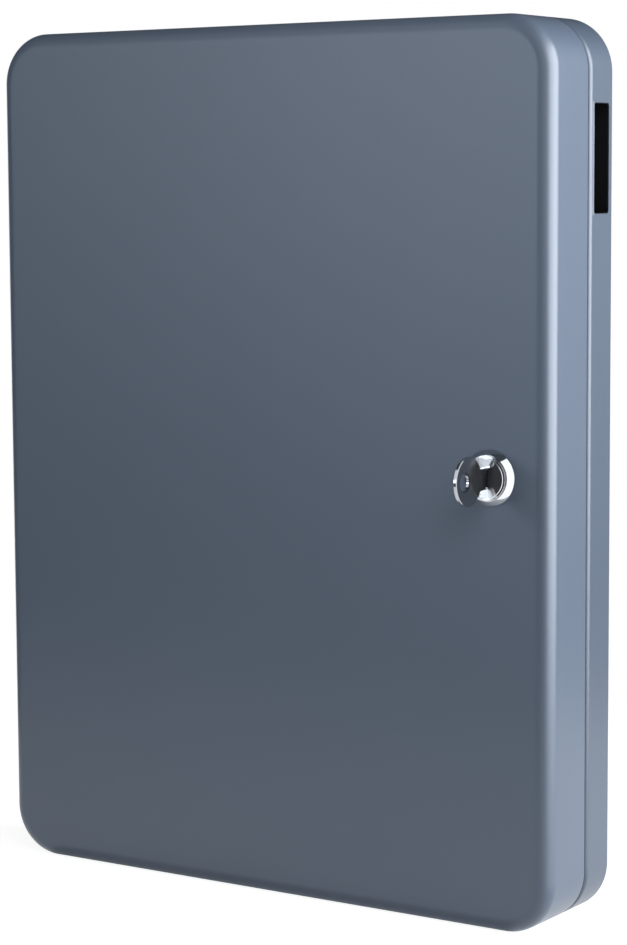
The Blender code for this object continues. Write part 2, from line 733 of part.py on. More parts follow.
def make_strike():
    """A folded plate behind the back box's return. The cam turns in behind its lip."""
    foot = BACK_BOX_FRONT + SHEET + SEAT_GAP + STRIKE_SHEET / 2
    lip = DOOR_FRONT - CAM_FRONT - CAM_CLEARANCE - STRIKE_SHEET / 2
    web = HALF_WIDTH - BACK_BOX_RETURN - SEAT_GAP - STRIKE_SHEET / 2
    corners = [(web + STRIKE_FOOT, foot), (web, foot), (web, lip), (web - STRIKE_LIP, lip)]
    path = rounded(corners, STRIKE_BEND, RIM_STEPS)
    strike = folded_sheet(
        "strike_plate", path, STRIKE_HEIGHT, STRIKE_SHEET, ZINC, (0, 0, LOCK_ABOVE_MIDDLE)
    )
    smooth(strike)


def make_bumpers():
    across = HALF_WIDTH - (BACK_BOX_RETURN + BACK_BOX_RIM_RADIUS) / 2
    mesh = rod_mesh("bumper", BUMPER_RADIUS, 0, BUMPER_HEIGHT, BUMPER_STEPS)
    for name, side in (("upper", 1), ("lower", -1)):
        place = (across, BACK_BOX_FRONT - SEAT_GAP, side * (HALF_HEIGHT - BUMPER_FROM_END))
        smooth(add_part(f"door_bumper_{name}", mesh, RUBBER, place, OUT_OF_DOOR))


def make_lock_housing(hinge):
    """The trim ring, the cylinder, and the washer and nut that clamp it to the door."""
    trim_top = SEAT_GAP + TRIM_HEIGHT
    hole = BARREL_RADIUS + SEAT_GAP
    turned_part("lock_trim_ring", [
        (hole, trim_top), (TRIM_TOP_RADIUS, trim_top), (TRIM_BASE_RADIUS, SEAT_GAP + TRIM_EDGE),
        (TRIM_BASE_RADIUS, SEAT_GAP), (hole, SEAT_GAP),
    ], True, CHROME, LOCK_PLACE, hinge)
    seat = LOCK_FACE - PLUG_FACE_HEIGHT - PLUG_RUNNING_GAP
    mouth = PLUG_FACE_RADIUS + PLUG_RUNNING_GAP
    cylinder = turned_part("lock_cylinder", [
        (mouth, LOCK_FACE), (HEAD_RADIUS - HEAD_CHAMFER, LOCK_FACE), (HEAD_RADIUS, LOCK_FACE - HEAD_CHAMFER),
        (HEAD_RADIUS, HEAD_BASE), (BARREL_RADIUS, HEAD_BASE), (BARREL_RADIUS, BARREL_END),
        (PLUG_BORE_RADIUS, BARREL_END), (PLUG_BORE_RADIUS, seat), (mouth, seat),
    ], True, CHROME, LOCK_PLACE, hinge)
    cut(cylinder, flats("barrel_flats", BARREL_RADIUS, BARREL_FLAT, BARREL_END, SEAT_GAP))
    behind = -SHEET - SEAT_GAP
    turned_part("lock_washer", [
        (hole, behind), (WASHER_RADIUS, behind), (WASHER_RADIUS, behind - WASHER_SHEET),
        (hole, behind - WASHER_SHEET),
    ], True, ZINC, LOCK_PLACE, hinge)
    nut_middle = behind - WASHER_SHEET - SEAT_GAP - NUT_HEIGHT / 2
    hexagon = arc((0, 0), NUT_ACROSS / 2 / math.cos(math.pi / 6), 0, 360, 6)[:-1]
    bore = arc((0, 0), hole, 0, 360, TURNED_STEPS)[:-1]
    nut = plate_mesh("lock_nut", [hexagon, bore], NUT_HEIGHT)
    add_part("lock_nut", nut, ZINC, LOCK_PLACE - Vector((0, nut_middle, 0)), OUT_OF_DOOR, hinge)


def flats(name, radius, flat, low, high):
    """Cuts a turned lock part flat on its left and its right between two heights."""
    reach = radius + OVERRUN
    below = low - OVERRUN
    blocks = [((flat, -reach, below), (reach, reach, high)), ((-reach, -reach, below), (-flat, reach, high))]
    return add_cutter(name, blocks_mesh(name, blocks), LOCK_PLACE, OUT_OF_DOOR)


def make_plug(carrier):
    """The part of the lock that turns with the key, with the keyway in front and a tail for the cam."""
    tail_end = CAM_BACK + SEAT_GAP
    screw_hole = CAM_SCREW_RADIUS + SEAT_GAP
    hole_end = CAM_SCREW_SEAT + CAM_SCREW_LENGTH + SEAT_GAP
    shoulder = CAM_FRONT + SEAT_GAP
    plug = turned_part("lock_plug", [
        (0, LOCK_FACE), (PLUG_FACE_RADIUS, LOCK_FACE), (PLUG_FACE_RADIUS, LOCK_FACE - PLUG_FACE_HEIGHT),
        (PLUG_RADIUS, LOCK_FACE - PLUG_FACE_HEIGHT), (PLUG_RADIUS, shoulder), (TAIL_RADIUS, shoulder),
        (TAIL_RADIUS, tail_end), (screw_hole, tail_end), (screw_hole, hole_end), (0, hole_end),
    ], False, CHROME, LOCK_PLACE, carrier)
    cut(plug, flats("tail_flats", TAIL_RADIUS, TAIL_FLAT, tail_end, shoulder))
    keyway_end = LOCK_FACE + KEY_SHOULDER_FROM_FACE - KEY_BLADE_LENGTH - SEAT_GAP
    half_width = KEY_THICKNESS / 2 + SEAT_GAP
    half_height = KEY_BLADE_WIDTH / 2 + SEAT_GAP
    keyway = block_mesh(
        "keyway", (-half_width, -half_height, keyway_end), (half_width, half_height, LOCK_FACE + OVERRUN)
    )
    cut(plug, add_cutter("keyway", keyway, LOCK_PLACE, OUT_OF_DOOR))


def make_cam(carrier):
    """The flat cam, pointing down when the lock is open, with the washer and screw that hold it."""
    half = CAM_WIDTH / 2
    tip_corner = half * CAM_ROUND_SHARE
    shoulder = -CAM_LENGTH + tip_corner
    outline = arc((0, 0), half, 0, 180, TURNED_STEPS // 2)
    outline += arc((-half + tip_corner, shoulder), tip_corner, 180, 270, RIM_STEPS * 2)
    outline += arc((half - tip_corner, shoulder), tip_corner, 270, 360, RIM_STEPS * 2)
    square = double_d(TAIL_RADIUS + SEAT_GAP, TAIL_FLAT + SEAT_GAP)
    cam = plate_mesh("lock_cam", [outline, square], CAM_SHEET)
    middle = LOCK_PLACE - Vector((0, (CAM_FRONT + CAM_BACK) / 2, 0))
    add_part("lock_cam", cam, ZINC, middle, OUT_OF_DOOR, carrier)
    top = CAM_BACK - SEAT_GAP
    hole = CAM_SCREW_RADIUS + SEAT_GAP
    turned_part("cam_washer", [
        (hole, top), (CAM_WASHER_RADIUS, top), (CAM_WASHER_RADIUS, top - CAM_WASHER_SHEET),
        (hole, top - CAM_WASHER_SHEET),
    ], True, ZINC, LOCK_PLACE, carrier)
    crown = CAM_SCREW_HEAD_HEIGHT * CAM_SCREW_CROWN_SHARE
    head_end = CAM_SCREW_SEAT - CAM_SCREW_HEAD_HEIGHT
    screw = turned_part("cam_screw", [
        (0, CAM_SCREW_SEAT + CAM_SCREW_LENGTH), (CAM_SCREW_RADIUS, CAM_SCREW_SEAT + CAM_SCREW_LENGTH),
        (CAM_SCREW_RADIUS, CAM_SCREW_SEAT), (CAM_SCREW_HEAD_RADIUS, CAM_SCREW_SEAT),
        (CAM_SCREW_HEAD_RADIUS, head_end + crown), (CAM_SCREW_HEAD_RADIUS - crown, head_end), (0, head_end),
    ], False, ZINC, LOCK_PLACE, carrier)
    half_slot = CAM_SCREW_SLOT / 2
    reach = CAM_SCREW_HEAD_RADIUS + OVERRUN
    slot_floor = head_end + CAM_SCREW_SLOT_DEPTH
    slot = block_mesh(
        "screw_slot", (-reach, -half_slot, head_end - OVERRUN), (reach, half_slot, slot_floor)
    )
    cut(screw, add_cutter("screw_slot", slot, LOCK_PLACE, OUT_OF_DOOR))


def key_outline():
    """The key from its side, outwards to the right: a round bow, a short shank and a blade with its cuts."""
    half = KEY_BLADE_WIDTH / 2
    shank = KEY_SHOULDER_WIDTH / 2
    lean = math.degrees(math.asin(shank / KEY_BOW_RADIUS))
    bow = arc((KEY_BOW_FROM_FACE, 0), KEY_BOW_RADIUS, 180 + lean, 540 - lean, KEY_ROUND_STEPS)
    tip = KEY_SHOULDER_FROM_FACE - KEY_BLADE_LENGTH
    point = half * KEY_TIP_SHARE
    cuts = []
    for number, share in enumerate(KEY_CUT_DEPTH_SHARES, 1):
        middle = KEY_SHOULDER_FROM_FACE - KEY_CUT_START - number * KEY_CUT_PITCH
        level = half - share * KEY_BLADE_WIDTH
        cuts += [(middle + KEY_CUT_FLAT / 2, level), (middle - KEY_CUT_FLAT / 2, level)]
    taper = half - point
    return (
        bow + [(KEY_SHOULDER_FROM_FACE, shank), (KEY_SHOULDER_FROM_FACE, half)]
        + [(KEY_SHOULDER_FROM_FACE - KEY_CUT_START, half)] + cuts
        + [(tip + taper, half - taper * KEY_TIP_SHARE), (tip, point), (tip, -point), (tip + taper, -half)]
        + [(KEY_SHOULDER_FROM_FACE, -half), (KEY_SHOULDER_FROM_FACE, -shank)]
    )


def make_key(carrier):
    ring = arc((KEY_BOW_FROM_FACE + KEY_RING_FROM_MIDDLE, 0), KEY_RING_RADIUS, 0, 360, KEY_RING_STEPS)[:-1]
    key = plate_mesh("key", [key_outline(), ring], KEY_THICKNESS)
    part = add_part("key", key, NICKEL, LOCK_PLACE - Vector((0, LOCK_FACE, 0)), KEY_TURN, carrier)
    smooth(part)


def main():
    make_back_box()
    hinge = add_carrier("door_hinge_axis", (HINGE_X, SEAM, 0))
    lock_axis = add_carrier("lock_axis", LOCK_PLACE, hinge)
    key_axis = add_carrier("key_axis", LOCK_PLACE, lock_axis)
    make_door(hinge)
    hinge_leaf("hinge_leaf_rear", 1, 0)
    hinge_leaf("hinge_leaf_door", -1, 1, hinge)
    make_hinge_pin()
    make_rail("rail_left", -RAIL_ACROSS)
    make_rail("rail_right", RAIL_ACROSS)
    make_hook_bars()
    make_slot_guard()
    make_strike()
    make_bumpers()
    make_lock_housing(hinge)
    make_plug(lock_axis)
    make_cam(lock_axis)
    make_key(key_axis)


main()
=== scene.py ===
import math

import bmesh
import bpy
from mathutils import Matrix, Vector


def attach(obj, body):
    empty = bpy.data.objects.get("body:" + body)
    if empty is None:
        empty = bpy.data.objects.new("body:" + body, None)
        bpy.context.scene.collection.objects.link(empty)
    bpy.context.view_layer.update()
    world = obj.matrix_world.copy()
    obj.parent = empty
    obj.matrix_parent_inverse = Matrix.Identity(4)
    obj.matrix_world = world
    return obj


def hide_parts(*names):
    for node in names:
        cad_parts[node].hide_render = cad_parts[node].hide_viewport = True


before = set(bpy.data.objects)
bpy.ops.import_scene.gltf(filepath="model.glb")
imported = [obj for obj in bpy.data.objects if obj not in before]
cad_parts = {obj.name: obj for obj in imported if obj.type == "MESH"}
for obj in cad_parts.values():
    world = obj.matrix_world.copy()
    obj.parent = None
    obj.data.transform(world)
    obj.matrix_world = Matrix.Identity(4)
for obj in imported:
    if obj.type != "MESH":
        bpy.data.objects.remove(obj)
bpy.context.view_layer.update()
print("key cabinet: packed model loaded")

# Every shape below is worked out in millimetres and scaled once, when its piece is made.
mm = 0.001


def linear(hexColour):
    # sRGB hex, as read off a photo, to the linear values that the renderer works in
    channels = [int(hexColour[i:i + 2], 16) / 255 for i in (1, 3, 5)]
    turned = [c / 12.92 if c <= 0.04045 else ((c + 0.055) / 1.055) ** 2.4 for c in channels]
    return (*turned, 1.0)


def addNode(tree, kind, sockets=None, **settings):
    node = tree.nodes.new(kind)
    for name, value in settings.items():
        setattr(node, name, value)
    for name, value in (sockets or {}).items():
        if isinstance(value, bpy.types.NodeSocket):
            tree.links.new(value, node.inputs[name])
        else:
            node.inputs[name].default_value = value
    return node


def newMaterial(name):
    material = bpy.data.materials.new(name)
    material.use_nodes = True
    tree = material.node_tree
    tree.nodes.clear()
    output = addNode(tree, "ShaderNodeOutputMaterial")
    place = addNode(tree, "ShaderNodeTexCoord").outputs["Object"]
    # one unit of this vector is one millimetre on the piece
    millimetres = addNode(tree, "ShaderNodeVectorMath", {0: place, "Scale": 1000.0}, operation="SCALE")
    return material, tree, output, millimetres.outputs["Vector"]


def finishMaterial(tree, output, shader):
    tree.links.new(shader.outputs[0], output.inputs["Surface"])
    for number, node in enumerate(tree.nodes):
        node.location = (220 * (number % 6) - 900, -260 * (number // 6))


# Polyester powder coat on steel: cured smooth in an oven, so it is even and satin, with a faint
# orange peel a few millimetres across that softens every reflection.
def powderCoatedSteel(name, colour, lighter):
    material, tree, output, place = newMaterial(name)
    coat = {"colour": colour, "lighter": lighter, "peelWidth": 2.6, "peelHeight": 0.006, "grit": 0.35}
    cloud = addNode(tree, "ShaderNodeTexNoise", {"Vector": place, "Scale": 1 / 60, "Detail": 2.0})
    peel = addNode(tree, "ShaderNodeTexNoise", {"Vector": place, "Scale": 1 / coat["peelWidth"], "Detail": 1.0})
    # the powder's own grain is 0.04 mm; it is drawn at 0.35 mm so that it shows at all
    grit = addNode(tree, "ShaderNodeTexNoise", {"Vector": place, "Scale": 1 / coat["grit"], "Detail": 0.0})
    tint = addNode(tree, "ShaderNodeMix", {
        0: cloud.outputs[0], 6: linear(coat["colour"]), 7: linear(coat["lighter"]),
    }, data_type="RGBA")
    rough = addNode(tree, "ShaderNodeMapRange", {
        "Value": grit.outputs[0], "To Min": 0.30, "To Max": 0.36,
    })
    bump = addNode(tree, "ShaderNodeBump", {
        "Height": peel.outputs[0], "Strength": 0.35, "Distance": coat["peelHeight"] * mm,
    })
    shader = addNode(tree, "ShaderNodeBsdfPrincipled", {
        "Base Color": tint.outputs[2], "Roughness": rough.outputs["Result"], "Normal": bump.outputs["Normal"],
        "IOR": 1.5,
    })
    finishMaterial(tree, output, shader)
    return material


# Bright chrome plate over die-cast zinc, polished: a near mirror, with faint wipe marks.
def chromePlate():
    material, tree, output, place = newMaterial("polished chrome plate")
    wipe = addNode(tree, "ShaderNodeTexNoise", {"Vector": place, "Scale": 1 / 4.0, "Detail": 3.0})
    rough = addNode(tree, "ShaderNodeMapRange", {"Value": wipe.outputs[0], "To Min": 0.03, "To Max": 0.07})
    shader = addNode(tree, "ShaderNodeBsdfPrincipled", {
        "Base Color": linear("#dcdee0"), "Metallic": 1.0, "Roughness": rough.outputs["Result"],
    })
    finishMaterial(tree, output, shader)
    return material


# Chrome plate over a face turned on a lathe: the fine rings left by the tool smear each reflection
# across themselves, so the face shows bright and dark wedges that meet at the middle.
def turnedChrome():
    material, tree, output, place = newMaterial("turned chrome face")
    middle = addNode(tree, "ShaderNodeVectorMath", {
        0: place, 1: (lock["x"], 0, lock["z"]),
    }, operation="SUBTRACT")
    parts = addNode(tree, "ShaderNodeSeparateXYZ", {0: middle.outputs["Vector"]})
    flat = addNode(tree, "ShaderNodeCombineXYZ", {"X": parts.outputs["X"], "Y": parts.outputs["Z"]})
    radius = addNode(tree, "ShaderNodeVectorMath", {0: flat.outputs["Vector"]}, operation="LENGTH")
    # tool marks are 0.05 mm apart; they are drawn 0.25 mm apart so that they show
    rings = addNode(tree, "ShaderNodeTexNoise", {
        "W": radius.outputs["Value"], "Scale": 1 / 0.25, "Detail": 2.0,
    }, noise_dimensions="1D")
    bump = addNode(tree, "ShaderNodeBump", {
        "Height": rings.outputs[0], "Strength": 0.5, "Distance": 0.002 * mm,
    })
    rough = addNode(tree, "ShaderNodeMapRange", {"Value": rings.outputs[0], "To Min": 0.11, "To Max": 0.135})
    tangent = addNode(tree, "ShaderNodeTangent", direction_type="RADIAL", axis="Y")
    shader = addNode(tree, "ShaderNodeBsdfPrincipled", {
        "Base Color": linear("#f6f7f8"), "Metallic": 1.0, "Roughness": rough.outputs["Result"],
        "Anisotropic": 1.0, "Anisotropic Rotation": 0.25, "Normal": bump.outputs["Normal"], "Tangent": tangent.outputs[0],
    })
    finishMaterial(tree, output, shader)
    return material


# Nickel plate over brass: a darker mirror than chrome, with fine scratches. The bow is
# tumbled dull and scatters a little light, the blade is milled bright.
def nickelPlatedBrass():
    material, tree, output, place = newMaterial("nickel-plated brass")
    drawn = addNode(tree, "ShaderNodeVectorMath", {0: place, 1: (1.0, 0.12, 1.0)}, operation="MULTIPLY")
    scratch = addNode(tree, "ShaderNodeTexNoise", {
        "Vector": drawn.outputs["Vector"], "Scale": 1 / 0.3, "Detail": 2.0,
    })
    stain = addNode(tree, "ShaderNodeTexNoise", {"Vector": place, "Scale": 1 / 5.0, "Detail": 2.0})
    tint = addNode(tree, "ShaderNodeMix", {
        0: stain.outputs[0], 6: linear("#abadb1"), 7: linear("#b8babe"),
    }, data_type="RGBA")
    rough = addNode(tree, "ShaderNodeMapRange", {"Value": scratch.outputs[0], "To Min": 0.12, "To Max": 0.20})
    middle = addNode(tree, "ShaderNodeVectorMath", {0: place, 1: keyPlace(key["bowOut"], 0, 0)}, operation="SUBTRACT")
    away = addNode(tree, "ShaderNodeVectorMath", {0: middle.outputs["Vector"]}, operation="LENGTH")
    metal = addNode(tree, "ShaderNodeMapRange", {
        "Value": away.outputs["Value"], "From Min": key["bowRadius"], "From Max": key["bowRadius"] + 0.3,
        "To Min": 0.97, "To Max": 1.0,
    })
    bump = addNode(tree, "ShaderNodeBump", {
        "Height": scratch.outputs[0], "Strength": 0.25, "Distance": 0.003 * mm,
    })
    shader = addNode(tree, "ShaderNodeBsdfPrincipled", {
        "Base Color": tint.outputs[2], "Metallic": metal.outputs["Result"], "Roughness": rough.outputs["Result"],
        "Normal": bump.outputs["Normal"],
    })
    finishMaterial(tree, output, shader)
    return material


# Bright zinc plate on rolled strip: a cool, slightly milky metal whose gloss comes and goes in
# soft patches, with the rolling direction just visible.
def zincPlatedSteel():
    material, tree, output, place = newMaterial("zinc-plated steel")
    patch = addNode(tree, "ShaderNodeTexNoise", {"Vector": place, "Scale": 1 / 9.0, "Detail": 4.0})
    rolled = addNode(tree, "ShaderNodeVectorMath", {0: place, 1: (0.08, 1.0, 1.0)}, operation="MULTIPLY")
    lines = addNode(tree, "ShaderNodeTexNoise", {
        "Vector": rolled.outputs["Vector"], "Scale": 1 / 0.4, "Detail": 2.0,
    })
    tint = addNode(tree, "ShaderNodeMix", {
        0: patch.outputs[0], 6: linear("#aeb2b4"), 7: linear("#c7cacb"),
    }, data_type="RGBA")
    rough = addNode(tree, "ShaderNodeMapRange", {"Value": patch.outputs[0], "To Min": 0.26, "To Max": 0.44})
    bump = addNode(tree, "ShaderNodeBump", {
        "Height": lines.outputs[0], "Strength": 0.3, "Distance": 0.004 * mm,
    })
    shader = addNode(tree, "ShaderNodeBsdfPrincipled", {
        "Base Color": tint.outputs[2], "Metallic": 1.0, "Roughness": rough.outputs["Result"],
        "Normal": bump.outputs["Normal"],
    })
    finishMaterial(tree, output, shader)
    return material


# Black ABS with a spark-eroded mould grain: dull, with a slight sparkle where it is lit.
def blackAbs():
    material, tree, output, place = newMaterial("grained black ABS")
    grain = addNode(tree, "ShaderNodeTexVoronoi", {"Vector": place, "Scale": 1 / 0.5})
    rough = addNode(tree, "ShaderNodeMapRange", {"Value": grain.outputs["Distance"], "To Min": 0.5, "To Max": 0.66})
    bump = addNode(tree, "ShaderNodeBump", {
        "Height": grain.outputs["Distance"], "Strength": 0.5, "Distance": 0.03 * mm,
    })
    shader = addNode(tree, "ShaderNodeBsdfPrincipled", {
        "Base Color": linear("#17181a"), "Roughness": rough.outputs["Result"], "Normal": bump.outputs["Normal"],
        "IOR": 1.54,
    })
    finishMaterial(tree, output, shader)
    return material


# Rigid white PVC strip, calendered: smooth, slightly waxy, a little uneven in gloss.
def whitePvc():
    material, tree, output, place = newMaterial("white PVC strip")
    wave = addNode(tree, "ShaderNodeTexNoise", {"Vector": place, "Scale": 1 / 6.0, "Detail": 2.0})
    rough = addNode(tree, "ShaderNodeMapRange", {"Value": wave.outputs[0], "To Min": 0.36, "To Max": 0.48})
    shader = addNode(tree, "ShaderNodeBsdfPrincipled", {
        "Base Color": linear("#e4e4e0"), "Roughness": rough.outputs["Result"], "IOR": 1.53,
    })
    finishMaterial(tree, output, shader)
    return material


# Screen-printing ink: a matt black film.
def printedInk():
    material, tree, output, place = newMaterial("screen-printed ink")
    film = addNode(tree, "ShaderNodeTexNoise", {"Vector": place, "Scale": 1 / 0.3, "Detail": 1.0})
    rough = addNode(tree, "ShaderNodeMapRange", {"Value": film.outputs[0], "To Min": 0.55, "To Max": 0.7})
    shader = addNode(tree, "ShaderNodeBsdfPrincipled", {
        "Base Color": linear("#1c1d20"), "Roughness": rough.outputs["Result"],
    })
    finishMaterial(tree, output, shader)
    return material


# Moulded EPDM rubber: black with a dusty grey bloom, no clear reflection.
def mouldedRubber():
    material, tree, output, place = newMaterial("moulded rubber")
    bloom = addNode(tree, "ShaderNodeTexNoise", {"Vector": place, "Scale": 1 / 1.2, "Detail": 3.0})
    tint = addNode(tree, "ShaderNodeMix", {
        0: bloom.outputs[0], 6: linear("#1a1a1b"), 7: linear("#262628"),
    }, data_type="RGBA")
    shader = addNode(tree, "ShaderNodeBsdfPrincipled", {
        "Base Color": tint.outputs[2], "Roughness": 0.8, "IOR": 1.52,
    })
    finishMaterial(tree, output, shader)
    return material


def arcPoints(centre, radius, start, end, steps):
    # points on an arc, angles in degrees
    turns = [math.radians(start + (end - start) * step / steps) for step in range(steps + 1)]
    return [(centre[0] + radius * math.cos(t), centre[1] + radius * math.sin(t)) for t in turns]


def roundedOutline(halfAcross, halfUp, radius, steps, guard):
    # a rounded rectangle, anticlockwise; a point stands beside each arc so that the flats shade flat
    points = []
    for signAcross, signUp, start in ((1, 1, 0), (-1, 1, 90), (-1, -1, 180), (1, -1, 270)):
        centre = (signAcross * (halfAcross - radius), signUp * (halfUp - radius))
        arc = arcPoints(centre, radius, start, start + 90, steps)
        along = math.radians(start)
        before = (arc[0][0] + guard * math.sin(along), arc[0][1] - guard * math.cos(along))
        after = (arc[-1][0] - guard * math.cos(along), arc[-1][1] - guard * math.sin(along))
        points += [before] + arc + [after]
    return points


def loft(rings, capStart=True, capEnd=True, closed=False):
    # skins rings of equal length one to the next; a closed loft joins the last ring to the first
    shape = bmesh.new()
    made = [[shape.verts.new(point) for point in ring] for ring in rings]
    pairs = list(zip(made, made[1:]))
    if closed:
        pairs.append((made[-1], made[0]))
    for ring, following in pairs:
        for i in range(len(ring)):
            j = (i + 1) % len(ring)
            corners = [ring[i], ring[j], following[j], following[i]]
            shape.faces.new(corners)
    if capStart and not closed:
        shape.faces.new(made[0][::-1])
    if capEnd and not closed:
        shape.faces.new(made[-1])
    bmesh.ops.recalc_face_normals(shape, faces=shape.faces)
    return shape


def turnedShape(profile, steps, centre=None):
    # turns (radius, proud) points round the lock's axis; proud is how far a point stands off the door
    middle = centre or (lock["x"], doorTray["closedAt"], lock["z"])
    rings = []
    for radius, proud in profile:
        ring = []
        for step in range(steps):
            angle = 2 * math.pi * step / steps
            x = middle[0] + radius * math.cos(angle)
            z = middle[2] + radius * math.sin(angle)
            ring.append((x, middle[1] - proud, z))
        rings.append(ring)
    return rings


def prismShape(outline, low, high, toWorld):
    # a solid of one outline between two levels, placed by a function of (across, up, level)
    rings = [[toWorld(a, u, level) for a, u in outline] for level in (low, high)]
    return loft(rings)


def blockShape(low, high):
    shape = bmesh.new()
    low, high = Vector(low), Vector(high)
    bmesh.ops.create_cube(shape, size=1.0)
    bmesh.ops.scale(shape, vec=high - low, verts=shape.verts)
    bmesh.ops.translate(shape, vec=(low + high) / 2, verts=shape.verts)
    return shape


def foldedLine(corners, bend, steps):
    # the middle line of a folded sheet, from its corners, as (point, direction across the sheet)
    line = [Vector(corners[0])]
    for before, corner, after in zip(corners, corners[1:], corners[2:]):
        corner = Vector(corner)
        back = (Vector(before) - corner).normalized()
        on = (Vector(after) - corner).normalized()
        half = back.angle(on) / 2
        setBack = bend / math.tan(half)
        centre = corner + (back + on).normalized() * (bend / math.sin(half))
        first = corner + back * setBack - centre
        last = corner + on * setBack - centre
        start = math.degrees(math.atan2(first.y, first.x))
        sweep = (math.degrees(math.atan2(last.y, last.x)) - start + 180) % 360 - 180
        line.append(corner + back * (setBack + 0.2))
        line += [Vector(point) for point in arcPoints(centre, bend, start, start + sweep, steps)]
        line.append(corner + on * (setBack + 0.2))
    line.append(Vector(corners[-1]))
    found = []
    for i, point in enumerate(line):
        ahead = (line[min(i + 1, len(line) - 1)] - line[max(i - 1, 0)]).normalized()
        found.append((point, Vector((-ahead.y, ahead.x))))
    return found


def foldedOutline(corners, sheet, bend, steps=6):
    line = foldedLine(corners, bend, steps)
    left = [tuple(point + aside * sheet / 2) for point, aside in line]
    right = [tuple(point - aside * sheet / 2) for point, aside in line]
    return left + right[::-1]


def lockPlace(across, up, proud):
    return (lock["x"] + across, doorTray["closedAt"] - proud, lock["z"] + up)


def joined(shapes):
    # puts closed solids into one mesh
    whole = shapes[0]
    for shape in shapes[1:]:
        mesh = bpy.data.meshes.new("part")
        shape.to_mesh(mesh)
        shape.free()
        whole.from_mesh(mesh)
        bpy.data.meshes.remove(mesh)
    return whole


def newObject(name, shape):
    bmesh.ops.scale(shape, vec=(mm, mm, mm), verts=shape.verts)
    mesh = bpy.data.meshes.new(name)
    shape.to_mesh(mesh)
    shape.free()
    piece = bpy.data.objects.new(name, mesh)
    bpy.context.scene.collection.objects.link(piece)
    return piece


def applyModifiers(piece):
    bpy.context.view_layer.update()
    evaluated = piece.evaluated_get(bpy.context.evaluated_depsgraph_get())
    mesh = bpy.data.meshes.new_from_object(evaluated)
    piece.modifiers.clear()
    old = piece.data
    piece.data = mesh
    bpy.data.meshes.remove(old)


def cutWith(piece, shapes):
    # takes solids in millimetres out of a piece
    cutters = [newObject("cutter", shape) for shape in shapes]
    for cutter in cutters:
        boolean = piece.modifiers.new("cut", "BOOLEAN")
        boolean.operation = "DIFFERENCE"
        boolean.solver = "EXACT"
        boolean.object = cutter
    applyModifiers(piece)
    for cutter in cutters:
        bpy.data.objects.remove(cutter)


def dress(piece, material, body, stands=(), smoothAngle=32.0, weighted=False):
    # gives a piece its finish, its body and the CAD nodes it stands for
    piece.data.shade_smooth()
    piece.data.set_sharp_from_angle(angle=math.radians(smoothAngle))
    if weighted:
        # keeps the flats flat where a rounded edge meets them
        normals = piece.modifiers.new("flats", "WEIGHTED_NORMAL")
        normals.keep_sharp = True
        applyModifiers(piece)
    piece.data.materials.clear()
    piece.data.materials.append(material)
    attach(piece, body)
    if stands:
        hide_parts(*stands)
    return piece


def roundEdges(piece, radius, segments=3, angle=40.0):
    bevel = piece.modifiers.new("edges", "BEVEL")
    bevel.width = radius * mm
    bevel.segments = segments
    bevel.limit_method = "ANGLE"
    bevel.angle_limit = math.radians(angle)
    bevel.harden_normals = False
    applyModifiers(piece)


backTray = {
    "width": 339.0, "height": 450.0, "cornerRadius": 27.0, "cornerSteps": 28, "sheet": 1.0,
    "closedAt": 0.0, "openAt": -24.0, "faceRadius": 1.6, "faceSteps": 6,
    "rimRadius": 2.6, "rimSteps": 8, "returnWidth": 12.0,
}
doorTray = {
    "width": 339.0, "height": 450.0, "cornerRadius": 27.0, "cornerSteps": 28, "sheet": 1.0,
    "closedAt": -63.2, "openAt": -25.2, "faceRadius": 8.0, "faceSteps": 16,
    "rimRadius": 1.3, "rimSteps": 6, "returnWidth": 9.0,
}
hinge = {
    "x": -169.9, "y": -24.6, "halfLength": 189.0, "knuckles": 13, "knuckleGap": 0.5, "sheet": 0.9,
    "barrelRadius": 2.6, "leafWidth": 15.0, "curl": 320.0, "room": 3.2, "roomEnds": 0.6, "pinRadius": 1.45,
}
lock = {
    "x": 136.5, "z": 1.7, "steps": 128,
    "hole": 9.6, "holeFlat": 8.3,
    "ringBase": 14.0, "ringTop": 11.4, "ringSeat": 0.3, "ringEdge": 0.5, "ringHeight": 3.5,
    "ringCup": 11.25, "ringFloor": 2.7,
    "headRadius": 11.1, "headBase": 3.0, "face": 4.9, "headEdge": 0.16,
    "barrelRadius": 9.3, "barrelFlat": 8.0, "barrelEnd": -28.0,
    "threadFrom": -1.5, "threadPitch": 1.0, "threadDepth": 0.45,
    "plugDish": 0.1, "plugEdge": 0.24, "mouth": 10.15, "plugFace": 9.9, "plugFaceHeight": 1.0, "plugRadius": 6.4,
    "plugBore": 6.65, "tail": 4.2, "tailFlat": 3.1, "tailFrom": -28.3, "tailEnd": -30.1,
    "screwHole": 1.8, "screwHoleEnd": -22.5,
}
slot = {
    "wall": 169.5, "low": 129.0, "high": 183.0, "front": -19.5, "rear": -4.2, "corner": 1.6,
    "flareWidth": 0.9, "flareHeight": 0.62, "sheet": 1.0, "collar": 0.35,
    "seatWidth": 1.65, "seatMargin": 1.2,
}


